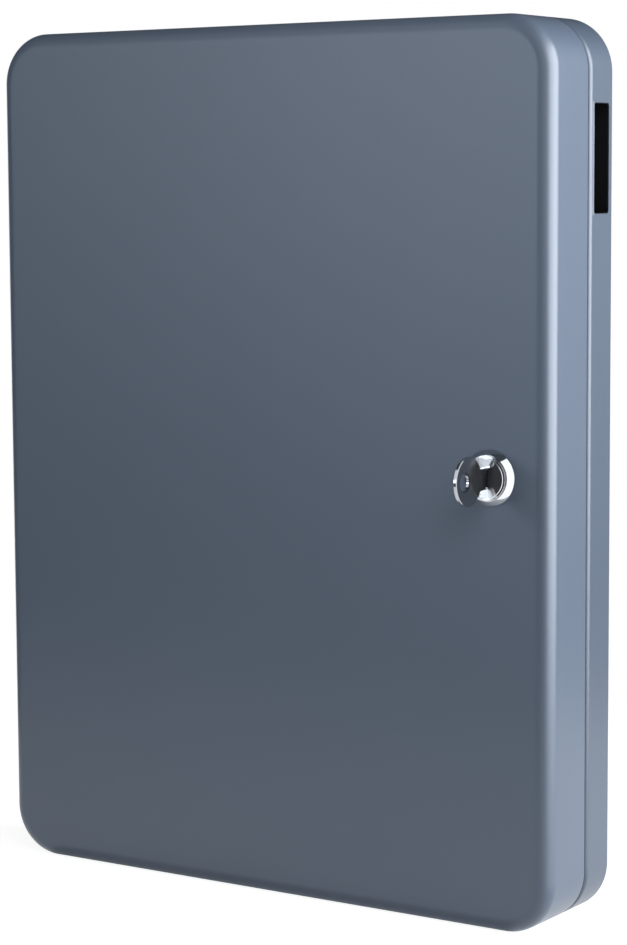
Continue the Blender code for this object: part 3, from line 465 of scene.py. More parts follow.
def traySection(tray):
    # the sheet's section from the middle of its closed face, round the rim and back inside:
    # (distance in from the side, depth from the closed face)
    face, rim, sheet = tray["faceRadius"], tray["rimRadius"], tray["sheet"]
    deep = abs(tray["openAt"] - tray["closedAt"])
    guard = 0.25
    half = sheet / 2
    edge = tray["returnWidth"] - half
    section = [(face + guard, 0.0)]
    section += arcPoints((face, face), face, 270, 180, tray["faceSteps"])
    section += [(0.0, face + guard), (0.0, deep - rim - guard)]
    section += arcPoints((rim, deep - rim), rim, 180, 90, tray["rimSteps"])
    section += [(rim + guard, deep), (edge - guard, deep)]
    section += arcPoints((edge, deep - half), half, 90, -90, 6)
    section += [(edge - guard, deep - sheet), (rim + guard, deep - sheet)]
    section += arcPoints((rim, deep - rim), rim - sheet, 90, 180, tray["rimSteps"])
    section += [(sheet, deep - rim - guard), (sheet, face + guard)]
    section += arcPoints((face, face), face - sheet, 180, 270, tray["faceSteps"])
    section += [(face + guard, sheet)]
    return section


def trayShape(tray):
    toward = math.copysign(1, tray["openAt"] - tray["closedAt"])
    rings = []
    for inset, depth in traySection(tray):
        outline = roundedOutline(
            tray["width"] / 2 - inset, tray["height"] / 2 - inset,
            tray["cornerRadius"] - inset, tray["cornerSteps"], 0.6,
        )
        y = tray["closedAt"] + toward * depth
        rings.append([(x, y, z) for x, z in outline])
    return loft(rings)


def hingeRoom(tray):
    # clears the returns of both shells along the hinge
    side = tray["width"] / 2
    high = hinge["halfLength"] + hinge["roomEnds"]
    low = (-side - 2.0, hinge["y"] - hinge["room"], -high)
    return blockShape(low, (-side + tray["returnWidth"] + 2.0, hinge["y"] + hinge["room"], high))


def doubleD(radius, flat, steps):
    corner = math.degrees(math.acos(flat / radius))
    top = arcPoints((0, 0), radius, corner, 180 - corner, steps)
    return top + arcPoints((0, 0), radius, 180 + corner, 360 - corner, steps)


def makeDoor():
    door = newObject("doorShell", trayShape(doorTray))
    lockHole = prismShape(doubleD(lock["hole"], lock["holeFlat"], 24), -3.0, 2.0, lockPlace)
    cutWith(door, [hingeRoom(doorTray), lockHole])
    dress(door, finishes["paint"], "door", ["door"])


def slotOutline(grown):
    # the return slot in the right wall, as (y, z) points
    across = (slot["rear"] - slot["front"]) / 2 + grown
    up = (slot["high"] - slot["low"]) / 2 + grown
    middle = ((slot["rear"] + slot["front"]) / 2, (slot["high"] + slot["low"]) / 2)
    outline = roundedOutline(across, up, slot["corner"] + grown, 8, 0.3)
    return [(y + middle[0], z + middle[1]) for y, z in outline]


def keyhole():
    # round part for a screw's head, with a neck above it
    holes = {"across": 146.0, "up": 180.0, "radius": 4.6, "neck": 2.3, "rise": 9.0}
    lean = math.degrees(math.asin(holes["neck"] / holes["radius"]))
    outline = arcPoints((0, 0), holes["radius"], 90 + lean, 450 - lean, 32)
    outline += arcPoints((0, holes["rise"]), holes["neck"], 0, 180, 16)
    return [
        prismShape(outline, -3.0, 2.0, lambda a, u, level, x=x, z=z: (x + a, level, z + u))
        for x in (-holes["across"], holes["across"]) for z in (-holes["up"], holes["up"])
    ]


def makeBackBox():
    box = newObject("backBoxShell", trayShape(backTray))
    wallHole = prismShape(
        slotOutline(0.0), slot["wall"] - 3.0, slot["wall"] + 2.0, lambda y, z, x: (x, y, z)
    )
    # the sheet is set back beside the slot, so that the flared edge stays flush with the wall
    seat = slot["seatMargin"]
    flareSeat = blockShape(
        (slot["wall"] - slot["flareHeight"], slot["front"] - slot["seatWidth"], slot["low"] - seat),
        (slot["wall"] + 1.0, slot["front"] + 0.01, slot["high"] + seat),
    )
    cutWith(box, [hingeRoom(backTray), wallHole, flareSeat] + keyhole())
    # painted shade: the box takes the darker copy of the paint, for the shade on its sides
    dress(box, finishes["shadedBoxPaint"], "cabinet", ["back_box"])


def makeSlotEdge():
    # the sheet flares outwards along the slot's front edge, which shows as a thin bright line
    flare, rise, margin = slot["flareWidth"], slot["flareHeight"], slot["seatMargin"] - 0.3
    section = [
        (-rise - 0.1, -0.02), (-0.04, -0.02), (0.0, -0.05), (0.0, -0.12), (0.03 - rise, 0.06 - flare),
        (-0.02 - rise, -flare), (-rise - 0.1, -flare),
    ]
    bar = newObject("slotFlare", prismShape(
        section, slot["low"] - margin, slot["high"] + margin,
        lambda x, y, z: (slot["wall"] + x, slot["front"] + y, z),
    ))
    # painted shade: the flare takes the box's darker copy of the paint
    dress(bar, finishes["shadedBoxPaint"], "cabinet")
    # a black collar lines the cut
    inner, deep = 0.02 - slot["collar"], -slot["sheet"] + 0.1
    section = [(0.0, deep), (0.0, -0.05), (inner + 0.08, -0.05), (inner, -0.13), (inner, deep)]
    rings = [[(slot["wall"] + x, y, z) for y, z in slotOutline(grown)] for grown, x in section]
    collar = newObject("slotCollar", loft(rings, closed=True))
    dress(collar, finishes["black"], "cabinet")


def makeLockHousing():
    seat, edge, height = lock["ringSeat"], lock["ringEdge"], lock["ringHeight"]
    base, top = lock["ringBase"], lock["ringTop"]
    hole = lock["hole"]
    cup, floor = lock["ringCup"], lock["ringFloor"]
    ring = newObject("lockTrimRing", loft(turnedShape([
        (hole, seat), (base - 0.2, seat), (base, seat + 0.2), (base, seat + edge - 0.1),
        (base - 0.07, seat + edge + 0.07), (top + 0.05, height - 0.1), (top, height - 0.03), (top - 0.05, height),
        (cup + 0.02, height), (cup, height - 0.05), (cup, floor), (hole, floor),
    ], lock["steps"]), closed=True))
    dress(ring, finishes["chrome"], "door", ["lock_trim_ring"])

    face, headEdge = lock["face"], lock["headEdge"]
    head, mouth = lock["headRadius"], lock["mouth"]
    floor = face - lock["plugFaceHeight"] - 0.25
    profile = [(mouth, face - 0.02), (mouth + 0.02, face), (head - headEdge - 0.1, face)]
    profile += [(head - headEdge + headEdge * math.sin(t), face - headEdge + headEdge * math.cos(t))
                for t in [math.radians(90 * step / 5) for step in range(6)]]
    profile += [(head, lock["headBase"]), (lock["barrelRadius"], lock["headBase"])]
    # the thread, drawn as rings
    turn = lock["threadFrom"]
    while turn > lock["barrelEnd"] + lock["threadPitch"]:
        profile += [
            (lock["barrelRadius"], turn), (lock["barrelRadius"] - lock["threadDepth"], turn - lock["threadPitch"] / 2),
        ]
        turn -= lock["threadPitch"]
    profile += [
        (lock["barrelRadius"], turn), (lock["barrelRadius"], lock["barrelEnd"] + 0.5),
        (lock["barrelRadius"] - 0.5, lock["barrelEnd"]), (lock["plugBore"], lock["barrelEnd"]),
        (lock["plugBore"], floor), (mouth, floor),
    ]
    cylinder = newObject("lockCylinder", loft(turnedShape(profile, lock["steps"]), closed=True))
    reach = lock["barrelRadius"] + 2.0
    sides = []
    for side in (-1, 1):
        low = (min(side * lock["barrelFlat"], side * reach), -reach)
        high = (max(side * lock["barrelFlat"], side * reach), reach)
        corners = [(low[0], low[1]), (high[0], low[1]), (high[0], high[1]), (low[0], high[1])]
        sides.append(prismShape(corners, lock["barrelEnd"] - 2.0, 0.3, lockPlace))
    cutWith(cylinder, sides)
    dress(cylinder, finishes["turned"], "door", ["lock_cylinder"])


def makePlug():
    face = lock["face"]
    keyway = {"halfWidth": 1.3, "halfHeight": 4.2, "end": -16.4, "ward": 0.42, "rightWard": -1.0, "leftWard": 1.1}
    profile = [
        (0.02, face - lock["plugDish"]), (1.2, face - lock["plugDish"]),
        (lock["plugFace"] - lock["plugEdge"], face), (lock["plugFace"], face - lock["plugEdge"]),
        (lock["plugFace"], face - lock["plugFaceHeight"]), (lock["plugRadius"], face - lock["plugFaceHeight"]),
        (lock["plugRadius"], lock["tailFrom"]), (lock["tail"], lock["tailFrom"]), (lock["tail"], lock["tailEnd"]),
        (lock["screwHole"], lock["tailEnd"]), (lock["screwHole"], lock["screwHoleEnd"]),
        (0.02, lock["screwHoleEnd"]),
    ]
    plug = newObject("lockPlug", loft(turnedShape(profile, lock["steps"])))
    wide, tall, ward = keyway["halfWidth"], keyway["halfHeight"], keyway["ward"]
    right, left = keyway["rightWard"], keyway["leftWard"]
    corners = [
        (-wide, -tall), (wide, -tall), (wide, right - 0.35), (wide - ward, right - 0.25),
        (wide - ward, right + 0.25), (wide, right + 0.35), (wide, tall), (-wide, tall),
        (-wide, left + 0.35), (-wide + ward, left + 0.25), (-wide + ward, left - 0.25), (-wide, left - 0.35),
    ]
    cutters = [prismShape(corners, keyway["end"], face + 2.0, lockPlace)]
    for side in (-1, 1):
        inner, outer = sorted((side * lock["tailFlat"], side * 8.0))
        flat = [(inner, -8.0), (outer, -8.0), (outer, 8.0), (inner, 8.0)]
        cutters.append(prismShape(flat, lock["tailEnd"] - 2.0, lock["tailFrom"], lockPlace))
    cutWith(plug, cutters)
    dress(plug, finishes["turned"], "lock_core", ["lock_plug"])


lockBack = {
    "washerRadius": 12.5, "washerFrom": -1.3, "washerTo": -2.1,
    "nutAcross": 24.0, "nutFrom": -2.4, "nutTo": -6.4, "nutChamfer": 0.9,
    "camFrom": -28.6, "camTo": -30.4, "camHalf": 7.0, "camReach": 17.5, "camCorner": 3.85, "camEdge": 0.25,
    "smallWasherRadius": 5.8, "smallWasherFrom": -30.7, "smallWasherTo": -31.5,
    "screwSeat": -31.8, "screwHead": 3.6, "screwTop": -34.2, "screwCrown": 1.0, "screwRadius": 1.5,
    "screwTip": -22.8, "screwSlot": 0.45, "screwSlotFloor": -33.1,
}


def washerProfile(hole, radius, near, far):
    edge = 0.15
    return [
        (hole, near), (radius - edge, near), (radius, near - edge), (radius, far + edge), (radius - edge, far),
        (hole, far),
    ]


def makeLockBack():
    back = lockBack
    hole = lock["hole"]
    washer = newObject("lockWasher", loft(turnedShape(
        washerProfile(hole, back["washerRadius"], back["washerFrom"], back["washerTo"]), 96,
    ), closed=True))
    dress(washer, finishes["zinc"], "door", ["lock_washer"])

    # a hexagon turned down at its corners
    corner = back["nutAcross"] / 2 / math.cos(math.pi / 6)
    flats = back["nutAcross"] / 2
    near, far, chamfer = back["nutFrom"], back["nutTo"], back["nutChamfer"]
    nut = newObject("lockNut", prismShape(arcPoints((0, 0), corner, 0, 300, 5), far, near, lockPlace))
    cutWith(nut, [
        prismShape(arcPoints((0, 0), hole, 0, 357.5, 143), far - 1.0, near + 1.0, lockPlace),
        loft(turnedShape([
            (flats - 0.2, near + 0.5), (flats - 0.2, near), (corner + 0.1, near - chamfer),
            (corner + 0.1, far + chamfer), (flats - 0.2, far), (flats - 0.2, far - 0.5),
            (corner + 3.0, far - 0.5), (corner + 3.0, near + 0.5),
        ], 120), closed=True),
    ])
    dress(nut, finishes["zinc"], "door", ["lock_nut"], smoothAngle=20.0)

    half, reach, tip = back["camHalf"], back["camReach"], back["camCorner"]
    outline = arcPoints((0, 0), half, 0, 180, 32)
    outline += arcPoints((-half + tip, -reach + tip), tip, 180, 270, 12)
    outline += arcPoints((half - tip, -reach + tip), tip, 270, 360, 12)
    cam = newObject("lockCam", prismShape(outline, back["camTo"], back["camFrom"], lockPlace))
    squareHole = doubleD(lock["tail"] + 0.3, lock["tailFlat"] + 0.3, 24)
    cutWith(cam, [prismShape(squareHole, back["camTo"] - 1.0, back["camFrom"] + 1.0, lockPlace)])
    roundEdges(cam, back["camEdge"])
    dress(cam, finishes["zinc"], "lock_core", ["lock_cam"], weighted=True)

    small = newObject("camWasher", loft(turnedShape(
        washerProfile(lock["screwHole"], back["smallWasherRadius"], back["smallWasherFrom"], back["smallWasherTo"]),
        64,
    ), closed=True))
    dress(small, finishes["zinc"], "lock_core", ["cam_washer"])

    head, crown, seat, top = back["screwHead"], back["screwCrown"], back["screwSeat"], back["screwTop"]
    profile = [(0.02, back["screwTip"]), (back["screwRadius"] - 0.4, back["screwTip"])]
    profile += [(back["screwRadius"], back["screwTip"] - 0.4), (back["screwRadius"], seat), (head, seat)]
    profile += [(head - crown + crown * math.cos(t), top + crown - crown * math.sin(t))
                for t in [math.radians(90 * step / 8) for step in range(9)]]
    screw = newObject("camScrew", loft(turnedShape(profile + [(0.02, top)], 64)))
    slotHalf = back["screwSlot"]
    slotCorners = [(-6.0, -slotHalf), (6.0, -slotHalf), (6.0, slotHalf), (-6.0, slotHalf)]
    cutWith(screw, [prismShape(slotCorners, top - 1.0, back["screwSlotFloor"], lockPlace)])
    dress(screw, finishes["zinc"], "lock_core", ["cam_screw"])


key = {
    "thickness": 2.0, "bowRadius": 12.1, "bowOut": 16.6, "ringRadius": 4.3, "ringOut": 20.8,
    "shoulder": 5.3, "shoulderOut": 1.0, "blade": 3.9, "tipOut": -21.0, "tipShare": 0.4,
    "cutStart": 1.6, "cutPitch": 3.2, "cutFlat": 0.45, "cutDepths": (1.09, 2.03, 0.78, 1.72, 1.25),
    "groove": 0.6, "grooveHalf": 0.6, "rightGroove": -1.0, "leftGroove": 1.1, "grooveOut": 4.5, "edge": 0.2,
    "bowEdge": 0.32,
}


def keyPlace(out, up, level):
    return (lock["x"] + level, doorTray["closedAt"] - lock["face"] - out, lock["z"] + up)


def edgeRing(side, out, radius, inward, turns):
    # takes the sharp edge off one side of the bow (inward 1) or of its hole (inward -1)
    half, cut, spare = key["thickness"] / 2, key["bowEdge"], 0.15
    section = [(-cut - spare, half + spare), (spare, half - cut - spare), (2 * spare, half + 2 * spare)]
    rings = []
    for turn in turns:
        reach = [(radius + inward * r, side * level) for r, level in section]
        rings.append([keyPlace(out + r * math.cos(turn), r * math.sin(turn), level) for r, level in reach])
    return loft(rings, closed=inward < 0)


def makeKey():
    blade, shoulder = key["blade"], key["shoulder"]
    lean = math.degrees(math.asin(shoulder / key["bowRadius"]))
    outline = arcPoints((key["bowOut"], 0), key["bowRadius"], 180 + lean, 540 - lean, 110)
    start = key["shoulderOut"]
    outline += [(start, shoulder), (start, blade), (start - key["cutStart"], blade)]
    for number, depth in enumerate(key["cutDepths"], 1):
        middle = start - key["cutStart"] - number * key["cutPitch"]
        outline += [(middle + key["cutFlat"], blade - depth), (middle - key["cutFlat"], blade - depth)]
    point = blade * key["tipShare"]
    taper = blade - point
    tip = key["tipOut"]
    outline += [
        (tip + taper, blade - taper * key["tipShare"]), (tip, point), (tip, -point), (tip + taper, -blade),
        (start, -blade), (start, -shoulder),
    ]
    half = key["thickness"] / 2
    piece = newObject("key", prismShape(outline, -half, half, keyPlace))
    ring = arcPoints((key["ringOut"], 0), key["ringRadius"], 0, 355, 71)
    cutters = [prismShape(ring, -half - 1.0, half + 1.0, keyPlace)]
    # the groove milled along each side, which the wards of the keyway run in
    for side, level in ((1, key["rightGroove"]), (-1, key["leftGroove"])):
        low, high = level - key["grooveHalf"], level + key["grooveHalf"]
        corners = [(tip - 1.0, low), (key["grooveOut"], low), (key["grooveOut"], high), (tip - 1.0, high)]
        near, far = sorted((side * (half - key["groove"]), side * (half + 1.0)))
        cutters.append(prismShape(corners, near, far, keyPlace))
    arc = [math.radians(180 + lean + 0.5 + (359 - 2 * lean) * step / 110) for step in range(111)]
    circle = [math.radians(5 * step) for step in range(72)]
    for side in (-1, 1):
        cutters.append(edgeRing(side, key["bowOut"], key["bowRadius"], 1, arc))
        cutters.append(edgeRing(side, key["ringOut"], key["ringRadius"], -1, circle))
    cutWith(piece, cutters)
    roundEdges(piece, key["edge"], segments=1, angle=60.0)
    dress(piece, finishes["nickel"], "key", ["key"], weighted=True)


def makeHingeLeaf(name, node, body, toward, firstKnuckle):
    # a flat leaf with every second knuckle curled round the pin; toward is 1 behind the pin, -1 in front
    outer = hinge["barrelRadius"]
    inner = outer - hinge["sheet"]
    root, tip = toward * hinge["room"], toward * hinge["leafWidth"]
    half, gap = hinge["halfLength"], hinge["knuckleGap"] / 2
    near, far = sorted((hinge["y"] + root, hinge["y"] + tip))
    shapes = [blockShape((hinge["x"] + inner, near, -half + gap), (hinge["x"] + outer, far, half - gap))]
    curl = -toward * hinge["curl"]
    section = [(outer, root), (outer, toward * 0.3)] + arcPoints((0, 0), outer, 0, curl, 40)
    section += arcPoints((0, 0), inner, curl, 0, 40) + [(inner, toward * 0.3), (inner, root)]
    pitch = 2 * half / hinge["knuckles"]
    for knuckle in range(firstKnuckle, hinge["knuckles"], 2):
        low, high = -half + knuckle * pitch + gap, -half + (knuckle + 1) * pitch - gap
        shapes.append(prismShape(
            section, low, high, lambda x, y, z: (hinge["x"] + x, hinge["y"] + y, z),
        ))
    leaf = newObject(name, joined(shapes))
    marks = [
        weldMark((hinge["x"] + outer, hinge["y"] + toward * 9.5, z), (1, 0, 0))
        for z in range(-168, 169, 42)
    ]
    cutWith(leaf, [joined(marks)])
    dress(leaf, finishes["zinc"], body, [node])


def makeHingePin():
    radius, half = hinge["pinRadius"], hinge["halfLength"]
    levels = [(0.05, half), (radius - 0.5, half - 0.08), (radius - 0.15, half - 0.3), (radius, half - 0.7)]
    profile = [(r, -z) for r, z in levels] + levels[::-1]
    rings = [
        [(hinge["x"] + x, hinge["y"] + y, z) for x, y in arcPoints((0, 0), r, 0, 352.5, 47)] for r, z in profile
    ]
    pin = newObject("hingePin", loft(rings))
    dress(pin, finishes["zinc"], "cabinet", ["hinge_pin"])


def weldMark(centre, outward):
    # the shallow round dent that a spot weld leaves
    weld = {"radius": 1.9, "depth": 0.14, "slope": 0.35}
    outward = Vector(outward)
    across = outward.orthogonal().normalized()
    up = outward.cross(across)
    rings = []
    for radius, height in ((weld["radius"], -weld["depth"]), (weld["radius"] + 3 * weld["slope"], 0.3)):
        rings.append([
            tuple(Vector(centre) + outward * height + across * a + up * u)
            for a, u in arcPoints((0, 0), radius, 0, 345, 23)
        ])
    return loft(rings)


bars = {
    "heights": [170.0, 116.0, 62.0, 8.0, -46.0, -100.0, -154.0], "half": 141.0, "sheet": 1.0, "y": -6.6,
    "top": 11.5, "lip": -3.0, "low": -12.0, "bend": 1.0,
    "hooks": [-121.5 + 27.0 * number for number in range(10)], "hookHalf": 2.3, "hookDrop": -14.4,
    "hookReach": -13.0, "hookTip": -7.4, "hookBend": 1.8, "hookEdge": 0.16,
    "tabs": (-118.0, 118.0), "tabHalf": 1.1,
}
rails = {
    "half": 200.0, "y": -1.8, "webHalf": 7.5, "flange": 13.5, "rise": -3.5, "sheet": 1.0, "bend": 0.9,
    "slotHalf": 1.5, "slotLow": 3.7, "slotHigh": 10.7, "between": 27.0,
}


def makeRail(name, node, across):
    web, flange, rise = rails["webHalf"], rails["flange"], rails["rise"]
    corners = [(flange, 0), (web, 0), (web, rise), (-web, rise), (-web, 0), (-flange, 0)]
    outline = foldedOutline(corners, rails["sheet"], rails["bend"])
    rail = newObject(name, prismShape(
        outline, -rails["half"], rails["half"], lambda x, y, z: (across + x, rails["y"] + y, z),
    ))
    half = rails["slotHalf"]
    middle = (rails["slotLow"] + rails["slotHigh"]) / 2
    tall = (rails["slotHigh"] - rails["slotLow"]) / 2
    slots = [
        prismShape(
            roundedOutline(half, tall, 0.9, 5, 0.1), -8.0, -2.8,
            lambda x, z, y, level=height + middle: (across + x, y, level + z),
        )
        for bar in bars["heights"] for height in (bar, bar - rails["between"])
    ]
    marks = [
        weldMark((across + side * 11.0, rails["y"] - rails["sheet"] / 2, z), (0, -1, 0))
        for side in (-1, 1) for z in range(-185, 186, 74)
    ]
    cutWith(rail, [joined(slots), joined(marks)])
    dress(rail, finishes["zinc"], "cabinet", [node])


def hookShape(across):
    # one hook: the sheet's strip, bent forward and up, its edges eased and its tip rounded
    drop, reach, tip = bars["hookDrop"], bars["hookReach"], bars["hookTip"]
    line = foldedLine([(0, bars["low"]), (0, drop), (reach, drop), (reach, tip - 1.6)], bars["hookBend"], 10)
    widths = [bars["hookHalf"]] * len(line)
    end, aside = line[-1]
    for rise, share in ((0.4, 0.97), (0.8, 0.88), (1.2, 0.73), (1.45, 0.58), (1.6, 0.4)):
        line.append((end + Vector((0, rise)), aside))
        widths.append(bars["hookHalf"] * share)
    rings = []
    for (point, aside), wide in zip(line, widths):
        thick, edge = bars["sheet"] / 2, bars["hookEdge"]
        corners = [
            (wide, thick - edge), (wide - edge, thick), (-wide + edge, thick), (-wide, thick - edge),
            (-wide, -thick + edge), (-wide + edge, -thick), (wide - edge, -thick), (wide, -thick + edge),
        ]
        rings.append([
            (across + a, bars["y"] + point.x + aside.x * t, point.y + aside.y * t) for a, t in corners
        ])
    return loft(rings)


def makeHookBars():
    strip = foldedOutline([(bars["lip"], bars["top"]), (0, bars["top"]), (0, bars["low"])], bars["sheet"], bars["bend"])
    shapes = [prismShape(strip, -bars["half"], bars["half"], lambda y, z, x: (x, bars["y"] + y, z))]
    shapes += [hookShape(across) for across in bars["hooks"]]
    # the tab goes through a slot of the rail and down behind it
    tab = [(0.5, 4.0), (2.1, 4.0), (2.1, 1.4), (3.1, 1.4), (3.1, 6.4), (0.5, 6.4)]
    for across in bars["tabs"]:
        low, high = across - bars["tabHalf"], across + bars["tabHalf"]
        shapes.append(prismShape(tab, low, high, lambda y, z, x: (x, bars["y"] + y, z)))
    first = newObject("hookBar1", joined(shapes))
    pieces = [first] + [bpy.data.objects.new(f"hookBar{row}", first.data) for row in range(2, 8)]
    for row, (piece, height) in enumerate(zip(pieces, bars["heights"]), 1):
        if piece is not first:
            bpy.context.scene.collection.objects.link(piece)
        piece.location = (0, 0, height * mm)
        dress(piece, finishes["zinc"], "cabinet", [f"hook_bar_{row}"])


def makeNumberStrips():
    label = {"half": 138.0, "tall": 5.0, "front": -7.9, "back": -7.4, "digits": 7.4, "ink": 0.03, "line": 0.18}
    outline = roundedOutline(label["half"], label["tall"], 1.2, 6, 0.1)
    for row, height in enumerate(bars["heights"], 1):
        strip = newObject(f"numberStrip{row}", prismShape(
            outline, label["front"], label["back"], lambda x, z, y, up=height: (x, y, up + z),
        ))
        dress(strip, finishes["strip"], "cabinet", [f"number_strip_{row}"])

    # a number over each hook, with a line between neighbours
    texts = []
    for row, height in enumerate(bars["heights"]):
        for place, across in enumerate(bars["hooks"], 1):
            curve = bpy.data.curves.new("number", "FONT")
            curve.body = str(row * len(bars["hooks"]) + place)
            curve.size = label["digits"]
            curve.extrude = label["ink"]
            curve.resolution_u = 4
            curve.align_x = "CENTER"
            curve.align_y = "CENTER"
            text = bpy.data.objects.new("number", curve)
            text.location = (across, label["front"], height)
            text.rotation_euler = (math.pi / 2, 0, 0)
            bpy.context.scene.collection.objects.link(text)
            texts.append(text)
    bpy.context.view_layer.update()
    depsgraph = bpy.context.evaluated_depsgraph_get()
    printed = bmesh.new()
    for text in texts:
        mesh = bpy.data.meshes.new_from_object(text.evaluated_get(depsgraph))
        mesh.transform(text.matrix_world)
        printed.from_mesh(mesh)
        bpy.data.meshes.remove(mesh)
        bpy.data.objects.remove(text)
    lines = []
    for height in bars["heights"]:
        for left, right in zip(bars["hooks"], bars["hooks"][1:]):
            middle = (left + right) / 2
            low = (middle - label["line"], label["front"] - label["ink"], height - 3.6)
            high = (middle + label["line"], label["front"] + label["ink"], height + 3.6)
            lines.append(blockShape(low, high))
    numbers = newObject("hookNumbers", joined([printed] + lines))
    dress(numbers, finishes["ink"], "cabinet")


def makeSlotGuard():
    guard = {"low": (153.2, -21.0, 115.0), "high": (168.2, -1.3, 186.0), "wall": 1.1, "fold": 2.4}
    shape = blockShape(guard["low"], guard["high"])
    openFaces = [face for face in shape.faces if face.normal.x > 0.5 or face.normal.z < -0.5]
    bmesh.ops.delete(shape, geom=openFaces, context="FACES")
    folds = [edge for edge in shape.edges if len(edge.link_faces) == 2]
    bmesh.ops.bevel(
        shape, geom=folds, offset=guard["fold"], offset_type="OFFSET", segments=8, profile=0.5, affect="EDGES",
    )
    piece = newObject("slotGuard", shape)
    wall = piece.modifiers.new("wall", "SOLIDIFY")
    wall.thickness = guard["wall"] * mm
    wall.offset = -1
    wall.use_even_offset = True
    applyModifiers(piece)
    dress(piece, finishes["black"], "cabinet", ["slot_guard"], weighted=True)


def makeStrike():
    strike = {"x": 156.6, "foot": 166.0, "lip": 147.4, "rear": -22.1, "front": -35.8, "sheet": 1.2, "half": 22.0}
    corners = [
        (strike["foot"], strike["rear"]), (strike["x"], strike["rear"]), (strike["x"], strike["front"]),
        (strike["lip"], strike["front"]),
    ]
    outline = foldedOutline(corners, strike["sheet"], 0.9)
    piece = newObject("strikePlate", prismShape(
        outline, lock["z"] - strike["half"], lock["z"] + strike["half"], lambda x, y, z: (x, y, z),
    ))
    cornersOff = [
        prismShape(
            [(-2.2, 0.5), (0.5, 0.5), (0.5, -2.2)], strike["front"] - 1.0, strike["front"] + 1.0,
            lambda a, u, y, side=side: (strike["lip"] - a, y, lock["z"] + side * (strike["half"] + u)),
        )
        for side in (-1, 1)
    ]
    cutWith(piece, [joined(cornersOff)])
    roundEdges(piece, 0.2)
    dress(piece, finishes["zinc"], "cabinet", ["strike_plate"], weighted=True)


def makeBumpers():
    bumper = {"x": 162.2, "y": -24.3, "up": 177.0, "radius": 3.6}
    radius = bumper["radius"]
    profile = [
        (0.02, 0.0), (radius, 0.0), (radius, 0.15), (radius - 0.15, 0.32), (radius - 0.6, 0.43),
        (radius - 1.6, 0.48), (radius - 2.6, 0.5), (0.02, 0.5),
    ]
    for name, up in (("Upper", bumper["up"]), ("Lower", -bumper["up"])):
        rings = turnedShape(profile, 48, (bumper["x"], bumper["y"], up))
        piece = newObject(f"bumper{name}", loft(rings))
        dress(piece, finishes["rubber"], "cabinet", [f"door_bumper_{name.lower()}"])


finishes = {
    "paint": powderCoatedSteel("powder-coated steel", "#5f6c7e", "#626f81"),
    # painted shade: the box wears a darker copy of the door's paint, standing in for the shade on the box's sides
    "shadedBoxPaint": powderCoatedSteel("powder-coated steel, box, painted darker for shade", "#566273", "#596576"),
    "chrome": chromePlate(),
    "turned": turnedChrome(),
    "nickel": nickelPlatedBrass(),
    "zinc": zincPlatedSteel(),
    "black": blackAbs(),
    "strip": whitePvc(),
    "ink": printedInk(),
    "rubber": mouldedRubber(),
}
print("key cabinet: finishes made")

makeBackBox()
makeDoor()
makeSlotEdge()
print("key cabinet: shells made")
makeLockHousing()
makePlug()
makeLockBack()
makeKey()
print("key cabinet: lock and key made")


makeHingeLeaf("hingeLeafRear", "hinge_leaf_rear", "cabinet", 1, 0)
makeHingeLeaf("hingeLeafDoor", "hinge_leaf_door", "door", -1, 1)
makeHingePin()
makeRail("railLeft", "rail_left", -118.0)
makeRail("railRight", "rail_right", 118.0)
makeHookBars()
makeNumberStrips()
print("key cabinet: hinge, rails, hook bars and number strips made")
makeSlotGuard()
makeStrike()
makeBumpers()
print("key cabinet: slot guard, strike plate and bumpers made")


camera = {"place": (786.27, -1188.09, 145.38), "yaw": 33.802, "pitch": -6.191, "roll": -0.3254, "lens": 102.126}


def placeCamera():
    data = bpy.data.cameras.new("camera")
    data.lens = camera["lens"]
    data.sensor_fit = "VERTICAL"
    data.sensor_height = 36.0
    item = bpy.data.objects.new("camera", data)
    turn = (
        Matrix.Rotation(math.radians(camera["yaw"]), 4, "Z")
        @ Matrix.Rotation(math.radians(90 + camera["pitch"]), 4, "X")
        @ Matrix.Rotation(math.radians(camera["roll"]), 4, "Z")
    )
    item.matrix_world = Matrix.Translation(Vector(camera["place"]) * mm) @ turn
    bpy.context.scene.collection.objects.link(item)
    bpy.context.scene.camera = item


def seenBy(tree):
    # 1 where the camera, a mirror or clear glass looks straight at the surface
    path = addNode(tree, "ShaderNodeLightPath")
    first = addNode(tree, "ShaderNodeMath", {
        0: path.outputs["Is Camera Ray"], 1: path.outputs["Is Glossy Ray"],
    }, operation="ADD")
    return addNode(tree, "ShaderNodeMath", {
        0: first.outputs[0], 1: path.outputs["Is Transmission Ray"],
    }, operation="ADD", use_clamp=True).outputs[0], path


